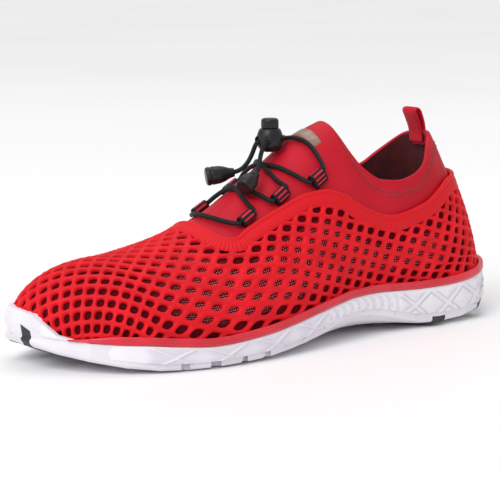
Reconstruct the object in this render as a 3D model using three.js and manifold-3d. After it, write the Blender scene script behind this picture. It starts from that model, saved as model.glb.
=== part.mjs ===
// A left water shoe, European size 42, standing empty on its sole. Millimetres, +Z up.
// The toe points to -X, the lateral side of the foot faces -Y, and the ground is Z = 0.
import * as THREE from "three";
import { mergeVertices } from "three/addons/utils/BufferGeometryUtils.js";
import Module from "manifold-3d";

const wasm = await Module();
wasm.setup();

// Sole unit sizes
const soleLength = 292;
const ballWidth = 104.6;
const heelWidth = 84.4;
const heelStack = 21;
const toeSpring = 14;
const bumperHeight = 12.5;
const bumperWall = 2.6;
const archLift = 14;
const soleEdgeRound = 1.8;
const rubberDepth = 2.4;
const pocketDepth = 4.5;
const rubberProud = 0.5;
const ribRaise = 0.5;

// Upper sizes
const instepHeight = 105;
const meshWall = 1.8;
const hemRaise = 0.4;
const hemWidth = 8;
const bootieWall = 2.2;
const bootieOverlap = 9;
const stripHeight = 4;
const stripWall = 3;
const insoleThickness = 3.4;

// Lacing sizes
const cordDiameter = 2.4;
const webbing = 0.8;
const loopWidth = 9;
const loopLift = 0.5;
const lockBall = 13.8;
const lockBoreSpacing = 5.4;
const lockLift = 9.8;
const bellBore = 5;
const bellWidth = 9.6;
const cordLift = cordDiameter / 2 + 1;
const pullWidth = 10.5;
const pullHeight = 13.8;
const lockAim = new THREE.Vector3(-0.956, -0.288, 0).normalize();

// Running gap between two pieces that touch in the shoe
const gap = 0.3;

// Places where the section planes stop being square to X and fan round the toe and the heel
const toeFan = 0.17;
const heelFan = 0.8;

// Sole outline seen from below. at is a share of soleLength from the toe; half and mid are shares of
// the width there: half the width, and how far its middle lies to the medial side.
const outlineRows = [
  { at: 0, half: 0, mid: 0.075 },
  { at: 0.016, half: 0.151, mid: 0.061 },
  { at: 0.06, half: 0.286, mid: 0.026 },
  { at: 0.124, half: 0.406, mid: 0.005 },
  { at: 0.189, half: 0.469, mid: -0.01 },
  { at: 0.269, half: 0.5, mid: -0.026 },
  { at: 0.365, half: 0.484, mid: -0.044 },
  { at: 0.5, half: 0.425, mid: -0.055 },
  { at: 0.6, half: 0.403, mid: -0.062 },
  { at: 0.638, half: 0.407, mid: -0.058 },
  { at: 0.723, half: 0.453, mid: -0.036 },
  { at: 0.763, half: 0.481, mid: -0.014 },
  { at: 0.843, half: 0.5, mid: 0.004 },
  { at: 0.914, half: 0.451, mid: 0.012 },
  { at: 0.946, half: 0.385, mid: 0.018 },
  { at: 0.978, half: 0.268, mid: 0.024 },
  { at: 0.994, half: 0.142, mid: 0.026 },
  { at: 1, half: 0, mid: 0.026 },
];

// Heights along the sole. seat, where the upper sits, is a share of heelStack; under, the underside on
// the centre line, is a share of toeSpring; edge, the lift of the underside at the rim, of archLift.
const soleRows = [
  { at: 0, seat: 0.77, under: 1, edge: 0.02 },
  { at: 0.02, seat: 0.77, under: 0.72, edge: 0.02 },
  { at: 0.05, seat: 0.74, under: 0.5, edge: 0.02 },
  { at: 0.1, seat: 0.68, under: 0.25, edge: 0.01 },
  { at: 0.15, seat: 0.64, under: 0.08, edge: 0 },
  { at: 0.2, seat: 0.57, under: 0, edge: 0 },
  { at: 0.27, seat: 0.5, under: 0, edge: 0 },
  { at: 0.36, seat: 0.58, under: 0, edge: 0.05 },
  { at: 0.44, seat: 0.72, under: 0, edge: 0.22 },
  { at: 0.5, seat: 0.86, under: 0.05, edge: 0.4 },
  { at: 0.55, seat: 0.97, under: 0.12, edge: 0.6 },
  { at: 0.6, seat: 1.05, under: 0.18, edge: 0.64 },
  { at: 0.65, seat: 1.06, under: 0.17, edge: 0.52 },
  { at: 0.7, seat: 1.03, under: 0.12, edge: 0.3 },
  { at: 0.76, seat: 1, under: 0.03, edge: 0.12 },
  { at: 0.8, seat: 1, under: 0, edge: 0.1 },
  { at: 0.86, seat: 1.04, under: 0, edge: 0.16 },
  { at: 0.9, seat: 1.08, under: 0, edge: 0.25 },
  { at: 0.95, seat: 1.16, under: 0.12, edge: 0.4 },
  { at: 0.985, seat: 1.22, under: 0.34, edge: 0.46 },
  { at: 1, seat: 1.25, under: 0.42, edge: 0.48 },
];

// Toe bumper: its rise above the seat as a share of bumperHeight, on each side of the toe
const bumperRows = [
  { at: 0, lateral: 1, medial: 1 },
  { at: 0.008, lateral: 0.9, medial: 1 },
  { at: 0.022, lateral: 0.45, medial: 0.98 },
  { at: 0.038, lateral: 0.12, medial: 0.93 },
  { at: 0.055, lateral: 0, medial: 0.85 },
  { at: 0.09, lateral: 0, medial: 0.5 },
  { at: 0.125, lateral: 0, medial: 0.1 },
  { at: 0.15, lateral: 0, medial: 0 },
  { at: 1, lateral: 0, medial: 0 },
];

// Last: ridge is the top of each section as a share of instepHeight, crown how square its shoulder is,
// lean the width left at the ridge, bulge how far the wall swells past the feather edge, and swing how
// far the ridge stands to the medial side as a share of ballWidth.
const lastRows = [
  { at: 0, ridge: 0.455, crown: 2.6, lean: 0.96, bulge: 0.02, swing: 0 },
  { at: 0.1, ridge: 0.465, crown: 2.5, lean: 0.93, bulge: 0.03, swing: 0.01 },
  { at: 0.17, ridge: 0.475, crown: 2.35, lean: 0.9, bulge: 0.03, swing: 0.02 },
  { at: 0.25, ridge: 0.512, crown: 2.2, lean: 0.86, bulge: 0.03, swing: 0.03 },
  { at: 0.32, ridge: 0.565, crown: 2.1, lean: 0.82, bulge: 0.03, swing: 0.045 },
  { at: 0.38, ridge: 0.64, crown: 2.1, lean: 0.79, bulge: 0.03, swing: 0.055 },
  { at: 0.45, ridge: 0.76, crown: 2.2, lean: 0.78, bulge: 0.02, swing: 0.06 },
  { at: 0.52, ridge: 0.89, crown: 2.4, lean: 0.79, bulge: 0.02, swing: 0.058 },
  { at: 0.58, ridge: 1.005, crown: 2.5, lean: 0.8, bulge: 0.02, swing: 0.05 },
  { at: 0.63, ridge: 1.06, crown: 2.6, lean: 0.81, bulge: 0.02, swing: 0.042 },
  { at: 0.68, ridge: 1.1, crown: 2.8, lean: 0.8, bulge: 0.02, swing: 0.032 },
  { at: 0.73, ridge: 1.15, crown: 3.1, lean: 0.76, bulge: 0.02, swing: 0.005 },
  { at: 0.8, ridge: 1.18, crown: 3.6, lean: 0.66, bulge: 0.03, swing: -0.025 },
  { at: 0.9, ridge: 1.18, crown: 4, lean: 0.46, bulge: 0.05, swing: -0.025 },
  { at: 1, ridge: 1.18, crown: 4, lean: 0.33, bulge: 0.04, swing: -0.025 },
];

// Edge of the mesh and rim of the collar seen from the side, as shares of instepHeight
const throatAt = 0.343;
const tongueAt = 0.632;
const meshEdgeRows = [
  { at: throatAt, height: 0.6 },
  { at: 0.357, height: 0.545 },
  { at: 0.375, height: 0.538 },
  { at: 0.404, height: 0.576 },
  { at: 0.469, height: 0.657 },
  { at: 0.534, height: 0.723 },
  { at: 0.565, height: 0.732 },
  { at: 0.602, height: 0.703 },
  { at: 0.641, height: 0.635 },
  { at: 0.709, height: 0.578 },
  { at: 0.784, height: 0.621 },
  { at: 0.865, height: 0.729 },
  { at: 1, height: 0.77 },
];
const rimRows = [
  { at: tongueAt, lateral: 1.08, medial: 1.08 },
  { at: 0.637, lateral: 0.98, medial: 0.98 },
  { at: 0.65, lateral: 0.88, medial: 0.88 },
  { at: 0.67, lateral: 0.803, medial: 0.803 },
  { at: 0.703, lateral: 0.747, medial: 0.747 },
  { at: 0.74, lateral: 0.738, medial: 0.733 },
  { at: 0.776, lateral: 0.76, medial: 0.745 },
  { at: 0.808, lateral: 0.815, medial: 0.775 },
  { at: 0.83, lateral: 0.9, medial: 0.82 },
  { at: 0.856, lateral: 0.952, medial: 0.89 },
  { at: 0.878, lateral: 0.957, medial: 0.952 },
  { at: 1, lateral: 0.957, medial: 0.957 },
];

// Plain helpers

function table(columns, rows) {
  return rows.map((row) => Object.fromEntries(columns.map((name, i) => [name, row[i]])));
}

function clamp(value, low, high) {
  return Math.min(high, Math.max(low, value));
}

function mix(a, b, share) {
  return a + (b - a) * share;
}

function ease(value, low, high) {
  const t = clamp((value - low) / (high - low), 0, 1);
  return t * t * (3 - 2 * t);
}

// Stretches both ends of the length, so that a round end needs few rows
function stretched(at) {
  return Math.acos(clamp(1 - 2 * at, -1, 1)) / Math.PI;
}

// A smooth curve through one column of a table, with no overshoot between its rows
function column(rows, key, place = stretched) {
  const x = rows.map((row) => place(row.at));
  const y = rows.map((row) => row[key]);
  const chord = x.slice(1).map((next, i) => (y[i + 1] - y[i]) / (next - x[i]));
  const slope = x.map((_, i) => {
    if (i === 0) return chord[0];
    if (i === x.length - 1) return chord[i - 1];
    if (chord[i - 1] * chord[i] <= 0) return 0;
    const before = x[i] - x[i - 1];
    const after = x[i + 1] - x[i];
    const w1 = 2 * after + before;
    const w2 = after + 2 * before;
    return (w1 + w2) / (w1 / chord[i - 1] + w2 / chord[i]);
  });
  return (at) => {
    const p = clamp(place(at), x[0], x[x.length - 1]);
    let i = 0;
    while (i < x.length - 2 && p > x[i + 1]) i += 1;
    const h = x[i + 1] - x[i];
    const t = (p - x[i]) / h;
    const t2 = t * t;
    const t3 = t2 * t;
    return (
      y[i] * (2 * t3 - 3 * t2 + 1) +
      slope[i] * h * (t3 - 2 * t2 + t) +
      y[i + 1] * (3 * t2 - 2 * t3) +
      slope[i + 1] * h * (t3 - t2)
    );
  };
}

const halfShare = column(outlineRows, "half");
const midShare = column(outlineRows, "mid");
const seatShare = column(soleRows, "seat");
const underShare = column(soleRows, "under");
const edgeShare = column(soleRows, "edge");
const bumperShare = { lateral: column(bumperRows, "lateral"), medial: column(bumperRows, "medial") };
const ridgeShare = column(lastRows, "ridge");
const crownOf = column(lastRows, "crown");
const leanOf = column(lastRows, "lean");
const bulgeOf = column(lastRows, "bulge");
const swingOf = column(lastRows, "swing");
const meshEdgeShare = column(meshEdgeRows, "height", (at) => at);
const rimShare = {
  lateral: column(rimRows, "lateral", (at) => at),
  medial: column(rimRows, "medial", (at) => at),
};

// Plan of the shoe

function widthAt(at) {
  return mix(ballWidth, heelWidth, ease(at, 0.45, 0.75));
}

// Puts the middle of the outline's widest reach on the X axis
const sideShift = (() => {
  const reach = { low: 0, high: 0 };
  for (let i = 0; i <= 100; i += 1) {
    const at = i / 100;
    const middle = midShare(at) * widthAt(at);
    const half = halfShare(at) * widthAt(at);
    reach.low = Math.min(reach.low, middle - half);
    reach.high = Math.max(reach.high, middle + half);
  }
  return -(reach.low + reach.high) / 2;
})();

function xAt(at) {
  return (at - 0.5) * soleLength;
}

function atX(x) {
  return x / soleLength + 0.5;
}

function middleAt(at) {
  return midShare(at) * widthAt(at) + sideShift;
}

// One section plane: it stands on the spine and points to a place on the outline
function station(at, side) {
  const spine = clamp(at, toeFan, heelFan);
  const sign = side === "lateral" ? -1 : 1;
  const foot = new THREE.Vector2(xAt(spine), middleAt(spine));
  const rim = new THREE.Vector2(xAt(at), middleAt(at) + sign * halfShare(at) * widthAt(at));
  const reach = rim.clone().sub(foot);
  return { at, side, spine, foot, reach: reach.length(), out: reach.normalize() };
}

// Stations all the way round, from the toe tip along the lateral side and back along the medial side
function stationRing(inToe, between, inHeel) {
  const places = [];
  for (let i = 0; i < inToe; i += 1) places.push(toeFan * (1 - Math.cos((i / inToe) * (Math.PI / 2))));
  for (let i = 0; i < between; i += 1) places.push(mix(toeFan, heelFan, i / between));
  for (let i = 0; i <= inHeel; i += 1) {
    places.push(heelFan + (1 - heelFan) * Math.sin((i / inHeel) * (Math.PI / 2)));
  }
  const lateral = places.map((at) => station(at, "lateral"));
  const medial = places.slice(1, -1).reverse().map((at) => station(at, "medial"));
  return [...lateral, ...medial];
}

function placed(st, r, z, shift = 0) {
  return [st.foot.x + st.out.x * r, st.foot.y + st.out.y * r + shift, z];
}

// Heights

function seatZ(at) {
  return seatShare(at) * heelStack;
}

function underZ(at) {
  return underShare(at) * toeSpring;
}

function edgeZ(at) {
  return underZ(at) + edgeShare(at) * archLift;
}

// The seat is straight from the spine to the outline
function seatAlong(st, r) {
  return mix(seatZ(st.spine), seatZ(st.at), r / st.reach);
}

function underAlong(st, r) {
  return underZ(clamp(atX(placed(st, r, 0)[0]), 0, 1));
}

// The last and what is wrapped round it

const meshOut = bootieWall + meshWall + 2.4 * gap;
const meshIn = bootieWall + 2.4 * gap;
const bootieOut = bootieWall + gap;
const bootieIn = gap;
const featherInset = stripWall + gap + meshOut;

// A point of the wall at turn 0 on the feather edge to 1 on the ridge, off mm outside the last
function wallPoint(st, turn, off) {
  const angle = (turn * Math.PI) / 2;
  const width = st.reach - featherInset;
  const base = seatAlong(st, width + off) + gap;
  const top = ridgeShare(st.spine) * instepHeight - meshOut;
  const crown = crownOf(st.at);
  const lean = leanOf(st.at);
  const bulge = bulgeOf(st.at);
  const shape = (a) => {
    const up = Math.pow(Math.max(Math.sin(a), 0), 2 / crown);
    const swell = 1 + bulge * Math.sin(Math.PI * clamp(up * 1.6, 0, 1));
    return [Math.max(Math.cos(a), 0) * width * mix(1, lean, up) * swell, base + (top - base) * up];
  };
  const [r, z] = shape(angle);
  const step = 0.01;
  const [r0, z0] = shape(clamp(angle - step, 0, Math.PI / 2));
  const [r1, z1] = shape(clamp(angle + step, 0, Math.PI / 2));
  const length = Math.hypot(r1 - r0, z1 - z0) || 1;
  const outward = turn >= 1 ? [0, 1] : [(z1 - z0) / length, -(r1 - r0) / length];
  const rise = (z - base) / (top - base);
  const shift = swingOf(st.spine) * ballWidth * rise * rise;
  return placed(st, turn >= 1 ? 0 : r + off * outward[0], Math.max(base, z + off * outward[1]), shift);
}

// Turn a list of rings of points into a closed solid. Each ring closes on itself, and so does the list.
// Quads are split the same way on the lateral and the medial side, so that faces on the spine cancel.
function solidOfRings(rings) {
  const points = [];
  const faces = [];
  const n = rings[0].length;
  rings.forEach((ring) => ring.forEach((p) => points.push(p)));
  rings.forEach((_, i) => {
    const here = i * n;
    const next = ((i + 1) % rings.length) * n;
    for (let j = 0; j < n; j += 1) {
      const k = (j + 1) % n;
      const toHeel = points[here][0] < points[next][0];
      if (toHeel) faces.push([here + j, next + j, next + k], [here + j, next + k, here + k]);
      else faces.push([here + j, next + j, here + k], [next + j, next + k, here + k]);
    }
  });
  return solidOfFaces(points, faces);
}

// Merges equal points, drops faces without area and pairs of faces that lie back to back
function solidOfFaces(points, faces) {
  const ids = new Map();
  const kept = [];
  const idOf = points.map((p) => {
    const key = p.map((v) => Math.round(v * 1000)).join(",");
    if (!ids.has(key)) {
      ids.set(key, kept.length);
      kept.push(p);
    }
    return ids.get(key);
  });
  const seen = new Map();
  faces.forEach((face) => {
    const f = face.map((i) => idOf[i]);
    if (new Set(f).size < 3) return;
    const key = [...f].sort((a, b) => a - b).join(",");
    if (seen.has(key)) seen.delete(key);
    else seen.set(key, f);
  });
  const mesh = new wasm.Mesh({
    numProp: 3,
    vertProperties: new Float32Array(kept.flat()),
    triVerts: new Uint32Array([...seen.values()].flat()),
  });
  return new wasm.Manifold(mesh);
}

function solidOfGeometry(geometry) {
  const bare = geometry.clone();
  bare.deleteAttribute("normal");
  bare.deleteAttribute("uv");
  const merged = mergeVertices(bare, 1e-4);
  const mesh = new wasm.Mesh({
    numProp: 3,
    vertProperties: new Float32Array(merged.attributes.position.array),
    triVerts: new Uint32Array(merged.index.array),
  });
  return new wasm.Manifold(mesh);
}

// Edges shorter than this are merged in a finished solid
const shortEdge = 0.03;

function geometryOfSolid(solid) {
  const mesh = solid.simplify(shortEdge).getMesh();
  const geometry = new THREE.BufferGeometry();
  geometry.setAttribute("position", new THREE.BufferAttribute(new Float32Array(mesh.vertProperties), 3));
  geometry.setIndex(new THREE.BufferAttribute(new Uint32Array(mesh.triVerts), 1));
  geometry.computeVertexNormals();
  return geometry;
}

// Stations that all the large pieces share
const ring = stationRing(5, 15, 5);

const wallRows = 7;

// A shell round the last, open underneath, between two distances from it
function shell(inner, outer, rows) {
  const rings = ring.map((st) => {
    const outside = [];
    const inside = [];
    for (let j = 0; j <= rows; j += 1) outside.push(wallPoint(st, j / rows, outer));
    for (let j = rows; j >= 0; j -= 1) inside.push(wallPoint(st, j / rows, inner));
    return [...outside, ...inside];
  });
  return solidOfRings(rings);
}

// The space above a side-view curve, or below it when down is set, from one Y to another
function sideCutter(from, heightAt, steps, down = false, low = -ballWidth, high = ballWidth) {
  const shape = new THREE.Shape();
  const end = 1.1;
  const beyond = down ? -50 : 3 * instepHeight;
  shape.moveTo(xAt(from), beyond);
  for (let i = 0; i <= steps; i += 1) {
    const at = mix(from, end, Math.pow(i / steps, 1.4));
    shape.lineTo(xAt(at), heightAt(at));
  }
  shape.lineTo(xAt(end), beyond);
  const geometry = new THREE.ExtrudeGeometry(shape, { depth: high - low, bevelEnabled: false });
  geometry.rotateX(Math.PI / 2);
  geometry.translate(0, high, 0);
  return solidOfGeometry(geometry);
}

function meshEdgeZ(at) {
  return meshEdgeShare(clamp(at, throatAt, 1)) * instepHeight;
}

function rimZ(at, side) {
  return rimShare[side](clamp(at, tongueAt, 1)) * instepHeight;
}

function makeUpper() {
  const wall = shell(meshIn, meshOut, wallRows);
  const hem = shell(meshIn, meshOut + hemRaise, wallRows).subtract(
    sideCutter(throatAt - hemWidth / soleLength, (at) => meshEdgeZ(at) - hemWidth, 34, true),
  );
  const front = new THREE.BoxGeometry(soleLength, 2 * ballWidth, 4 * instepHeight);
  front.translate(xAt(throatAt) - hemWidth - soleLength / 2, 0, 0);
  const band = hem.subtract(solidOfGeometry(front));
  return wall.add(band).subtract(sideCutter(throatAt, meshEdgeZ, 40));
}

function makeBootie() {
  const body = shell(bootieIn, bootieOut, wallRows);
  const front = new THREE.BoxGeometry(soleLength, 2 * ballWidth, 4 * instepHeight);
  front.translate(xAt(throatAt) - bootieOverlap - soleLength / 2, 0, 0);
  const below = sideCutter(
    throatAt - (2 * bootieOverlap) / soleLength,
    (at) => meshEdgeZ(at) - bootieOverlap,
    24,
    true,
  );
  const middle = middleAt(heelFan);
  const lateralCut = sideCutter(tongueAt, (at) => rimZ(at, "lateral"), 36, false, -ballWidth, middle);
  const medialCut = sideCutter(tongueAt, (at) => rimZ(at, "medial"), 36, false, middle, ballWidth);
  return body
    .subtract(below)
    .subtract(solidOfGeometry(front))
    .subtract(lateralCut)
    .subtract(medialCut);
}

// Sole unit

// Height of the section's side wall from its foot at 0 to the seat at 1
function sideWall(st, share, off = 0) {
  const low = edgeZ(st.at) + soleEdgeRound;
  const z = mix(low, seatZ(st.at), share);
  return placed(st, st.reach - ease(share, 0.4, 1) + off, z);
}

function soleSection(st, inset, raised) {
  const reach = st.reach - inset;
  const rise = edgeZ(st.at) - underZ(st.at);
  const low = edgeZ(st.at) + inset + soleEdgeRound + 0.3 * raised;
  const bump = bumperShare[st.side](st.at) * bumperHeight;
  const lifts = [
    [0, 0],
    [0.42 * reach, 0],
    [0.72 * reach, 0.25],
    [0.88 * reach, 0.62],
    [reach - soleEdgeRound, 0.98],
  ];
  const skin = lifts.map(([r, share]) => [r, underAlong(st, r) + share * rise + inset + raised]);
  const corner = [
    [reach - 0.3 * soleEdgeRound, mix(edgeZ(st.at) + inset + 0.8 * raised, low, 0.35)],
    [reach, low],
    [reach, mix(low, seatZ(st.at), 0.4)],
    [reach - 1, seatAlong(st, st.reach - 1)],
  ];
  const wrapped = ease(bump, 0, 3);
  const rimWall = bumperWall - Math.min(inset, 1.4 + 0.25 * inset);
  const rises = [0.5, 1, 1, 0.5, 0];
  const rim = rises.map((share, i) => {
    const z = seatAlong(st, st.reach - 1) + share * bump;
    const wall = radiusAt(st, z, meshOut) + 2 * gap + (i < 2 ? rimWall : 0);
    return [mix(reach - 1, wall, wrapped), z];
  });
  return [...skin, ...corner, ...rim, [0, seatZ(st.spine)]];
}

// Distance of the wrapped last from the spine at a height
function radiusAt(st, z, off) {
  let low = 0;
  let high = 1;
  for (let i = 0; i < 24; i += 1) {
    const turn = (low + high) / 2;
    if (wallPoint(st, turn, off)[2] < z) low = turn;
    else high = turn;
  }
  const [x, y] = wallPoint(st, low, off);
  return Math.hypot(x - st.foot.x, y - st.foot.y);
}

// The sole as a plain solid, inset all over but its top, with its underside raised
function soleForm(inset, raised = 0) {
  return solidOfRings(
    ring.map((st) => soleSection(st, inset, raised).map(([r, z]) => placed(st, r, z))),
  );
}

// Reach in height of the solids that cut the sole
const cutBottom = -heelStack / 4;
const cutTop = 3 * heelStack;

// The lowest part of the sole, up to a height above its lower edge at each station
function solePart(heightAt) {
  return solidOfRings(
    ring.map((st) => {
      const top = edgeZ(st.at) + heightAt(st.at);
      const middle = edgeZ(st.spine) + heightAt(st.spine);
      const outer = st.reach + 4;
      return [
        placed(st, 0, cutBottom),
        placed(st, outer, cutBottom),
        placed(st, outer, top),
        placed(st, 0, middle),
      ];
    }),
  );
}

// A place of the sole's plan from its percentages
function planPoint(along, across) {
  const at = along / 100;
  return new THREE.Vector2(xAt(at), (across / 100) * widthAt(clamp(at, 0, 1)) + sideShift);
}

// A round-ended stroke on the ground plane as a tall prism
function strokePrism(row, grow) {
  const radius = (row.width / 200) * ballWidth + grow;
  const from = planPoint(row.along0, row.across0);
  const to = planPoint(row.along1, row.across1);
  const shape = new THREE.Shape();
  shape.absarc(from.distanceTo(to), 0, radius, -Math.PI / 2, Math.PI / 2, false);
  shape.absarc(0, 0, radius, Math.PI / 2, (3 * Math.PI) / 2, false);
  const geometry = new THREE.ExtrudeGeometry(shape, {
    depth: cutTop - cutBottom,
    bevelEnabled: false,
    curveSegments: 2,
  });
  geometry.rotateZ(Math.atan2(to.y - from.y, to.x - from.x));
  geometry.translate(from.x, from.y, cutBottom);
  return solidOfGeometry(geometry);
}

function strokes(rows, grow) {
  return rows.map((row) => strokePrism(row, grow)).reduce((all, one) => all.add(one));
}

// Arms and fingers of the two rubber pieces. along is in percent of soleLength from the toe, across in
// percent of the sole's widest there, to the medial side, and width in percent of ballWidth.
const forefootLimbs = [
  { along0: -1.4, across0: -1.1, along1: 12.3, across1: -2.5, width: 5.5 },
  { along0: 12.3, across0: -2.5, along1: 22.3, across1: -5, width: 6.9 },
  { along0: 1.4, across0: 23.3, along1: 11.6, across1: 21, width: 5.7 },
  { along0: 11.6, across0: 21, along1: 20.5, across1: 13.4, width: 6.1 },
  { along0: 12.3, across0: 42.5, along1: 21.9, across1: 31.5, width: 6.3 },
  { along0: 21.9, across0: 31.5, along1: 27.1, across1: 19.1, width: 6.3 },
  { along0: 19.2, across0: -1.9, along1: 19.9, across1: 14.3, width: 6.7 },
  { along0: 19.9, across0: 12.4, along1: 27.1, across1: 19.1, width: 7.1 },
  { along0: 27.1, across0: 19.1, along1: 31.8, across1: 29.6, width: 7.1 },
  { along0: 24.7, across0: 13.4, along1: 27.6, across1: 6.7, width: 4.8 },
  { along0: 29.5, across0: 24.9, along1: 33.4, across1: 16.1, width: 4.8 },
  { along0: 31.8, across0: 30.6, along1: 39, across1: 23.9, width: 5.2 },
  { along0: 28.1, across0: 49.7, along1: 31.8, across1: 30.6, width: 6.7 },
];
const heelLimbs = [
  { along0: 80.8, across0: -54.5, along1: 76, across1: -27.3, width: 7.3 },
  { along0: 76, across0: -27.3, along1: 73.8, across1: -24.3, width: 4.8 },
  { along0: 76, across0: -27.3, along1: 79.8, across1: -22, width: 6.3 },
  { along0: 79.8, across0: -22, along1: 85.6, across1: -16.6, width: 7.2 },
  { along0: 85.6, across0: -16.6, along1: 89, across1: -4.7, width: 7.6 },
  { along0: 89, across0: -4.7, along1: 91.8, across1: 1.2, width: 7.6 },
  { along0: 91.8, across0: 1.2, along1: 94.2, across1: 14.2, width: 7.6 },
  { along0: 94.2, across0: 14.2, along1: 95, across1: 23.7, width: 11.5 },
  { along0: 93.2, across0: -43.8, along1: 85.6, across1: -20.1, width: 7.3 },
  { along0: 101, across0: -13.6, along1: 91.4, across1: -3.6, width: 5.7 },
];

// Drainage holes in rows across the sole, from the lateral one to the medial one, in the same
// percentages. bow shifts a row's middle to the heel, grow above 1 makes the steps longer to the medial
// side, and long and wide are the sizes of the first and the last hole.
const drainColumns = [
  ...["along0", "across0", "along1", "across1", "bow", "count"],
  ...["grow", "long0", "long1", "wide0", "wide1"],
];
const drainRows = table(drainColumns, [
  [19.2, -32.5, 16.3, 7.3, 0.3, 3, 1.1, 3.3, 4.2, 7.8, 10.9],
  [12.3, -13.9, 10.3, 10, 0, 2, 1, 3.1, 4.5, 10.5, 12],
  [24.4, -34.9, 20.9, 23.5, 0.7, 4, 1.08, 3.8, 5.3, 8.2, 11.5],
  [29.7, -37.6, 27.9, 14.5, 0, 4, 1.08, 3.8, 5.1, 7.3, 10.5],
  [35.1, -39.8, 33.7, 23.5, -0.5, 5, 1.12, 3.6, 5.1, 5.2, 9],
  [38.8, -31.4, 39.1, 12.9, -0.3, 4, 1.05, 3.2, 4.6, 5.2, 8],
  [42.9, -23.5, 44.7, 18, -0.3, 4, 1.08, 2.7, 4, 4.8, 7.6],
  [46.6, -30.3, 48.4, 6.2, -0.5, 4, 1.12, 2.1, 2.8, 3.4, 5.5],
  [59.2, -25.2, 61.3, 0, 0, 3, 1.1, 1.5, 2.4, 4.8, 6.9],
  [62.2, -24.9, 64.9, 2.7, 0, 3, 1.1, 1.7, 2.6, 5.4, 5.7],
  [65.4, -24.2, 69, 7.4, 0, 3, 1.05, 2.1, 2.8, 6.1, 5.9],
  [70.1, -21.9, 72.9, 14.5, 0, 3, 1, 3.3, 3.4, 7.3, 7.1],
  [76.3, -16.1, 77, 4.9, 0, 2, 1, 4.3, 4.5, 9, 8.6],
  [82.3, -5.1, 82.1, 18.7, 0, 2, 1, 5.1, 5.6, 9.6, 10.5],
  [88.6, 10.4, 88.6, 10.4, 0, 1, 1, 6.2, 6.2, 11.9, 11.9],
  [62, 13, 62.3, 14.1, 0, 1, 1, 2.1, 2.1, 5.4, 5.4],
  [65.8, 17.5, 68.8, 23.1, 0, 2, 1, 2.3, 2.5, 5.4, 5.7],
]);

// Blind pockets of the underside: on the lateral edge, in the heel and on the medial edge
const pocketRows = [
  { along: 20.8, across: -48.8, long: 2.4, wide: 4.8 },
  { along: 26.4, across: -51.1, long: 2.9, wide: 6.1 },
  { along: 32, across: -51.1, long: 2.7, wide: 5.7 },
  { along: 36.8, across: -51.6, long: 2.1, wide: 4.8 },
  { along: 6.5, across: -14.3, long: 1.4, wide: 8.6 },
  { along: 3.8, across: 11.5, long: 1.4, wide: 8.6 },
  { along: 26.6, across: 36, long: 4.1, wide: 9.6 },
  { along: 14.4, across: 29.2, long: 3.1, wide: 7.6 },
  { along: 81.3, across: -32, long: 4.5, wide: 7.1 },
  { along: 90.1, across: -17.1, long: 4.5, wide: 8.6 },
  { along: 72.6, across: -35.7, long: 3.4, wide: 6.7 },
  { along: 76.2, across: 25.4, long: 4, wide: 8.2 },
];

// One hole as a prism: a leaning lozenge, with its sharp ends cut from a length of largeHole percent
const largeHole = 3.4;
const holeRim = 2.4;
const lozenge = [
  [-0.5, -0.16],
  [-0.3, -0.5],
  [0.14, -0.5],
  [0.5, 0.16],
  [0.3, 0.5],
  [-0.14, 0.5],
];
const smallLozenge = [
  [-0.5, -0.1],
  [0, -0.5],
  [0.5, 0.1],
  [0, 0.5],
];

function lozengePrism(hole, grow = 0, top = cutTop) {
  const corners = hole.long < largeHole ? smallLozenge : lozenge;
  const long = (hole.long / 100) * soleLength + grow;
  const wide = (hole.wide / 100) * ballWidth + grow;
  const shape = new THREE.Shape(corners.map(([u, v]) => new THREE.Vector2(u * long, v * wide)));
  const geometry = new THREE.ExtrudeGeometry(shape, { depth: top - cutBottom, bevelEnabled: false });
  const place = planPoint(hole.along, hole.across);
  geometry.translate(place.x, place.y, cutBottom);
  return solidOfGeometry(geometry);
}

function drains() {
  return drainRows.flatMap((row) =>
    Array.from({ length: row.count }, (_, i) => {
      const t = row.count > 1 ? i / (row.count - 1) : 0;
      const step = Math.pow(t, row.grow);
      return {
        along: mix(row.along0, row.along1, step) + row.bow * 4 * t * (1 - t),
        across: mix(row.across0, row.across1, step),
        long: mix(row.long0, row.long1, t),
        wide: mix(row.wide0, row.wide1, t),
      };
    }),
  );
}

function drainPrisms(grow) {
  return drains()
    .map((hole) => lozengePrism(hole, grow))
    .reduce((all, one) => all.add(one));
}

// How far the rubber climbs the side of the sole, as a share of heelStack
const armRows = [
  { at: 0, height: 0.57 },
  { at: 0.06, height: 0.21 },
  { at: 0.3, height: 0.14 },
  { at: 0.7, height: 0.16 },
  { at: 1, height: 0.19 },
];
const armShare = column(armRows, "height");

function armRise(at) {
  return armShare(at) * heelStack;
}

function makeRubber(limbs) {
  const skin = soleForm(0).subtract(soleForm(rubberDepth));
  const form = strokes(limbs, 0).subtract(drainPrisms(holeRim)).intersect(skin);
  return largest(form.intersect(solePart(armRise)));
}

// Room for the rubber in the foam
function rubberRoom(limbs) {
  const skin = soleForm(-1).subtract(soleForm(rubberDepth + 3 * gap));
  const rise = (at) => armRise(at) + gap;
  const form = strokes(limbs, gap).subtract(drainPrisms(holeRim - 2 * gap)).intersect(skin);
  return form.intersect(solePart(rise));
}

function largest(solid) {
  const bodies = solid.decompose();
  return bodies.reduce((best, one) => (one.volume() > best.volume() ? one : best));
}

function makePockets() {
  return pocketRows
    .map((row) => {
      const floor = edgeZ(row.along / 100) + pocketDepth;
      return lozengePrism(row, 0, floor);
    })
    .reduce((all, one) => all.add(one));
}

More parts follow.
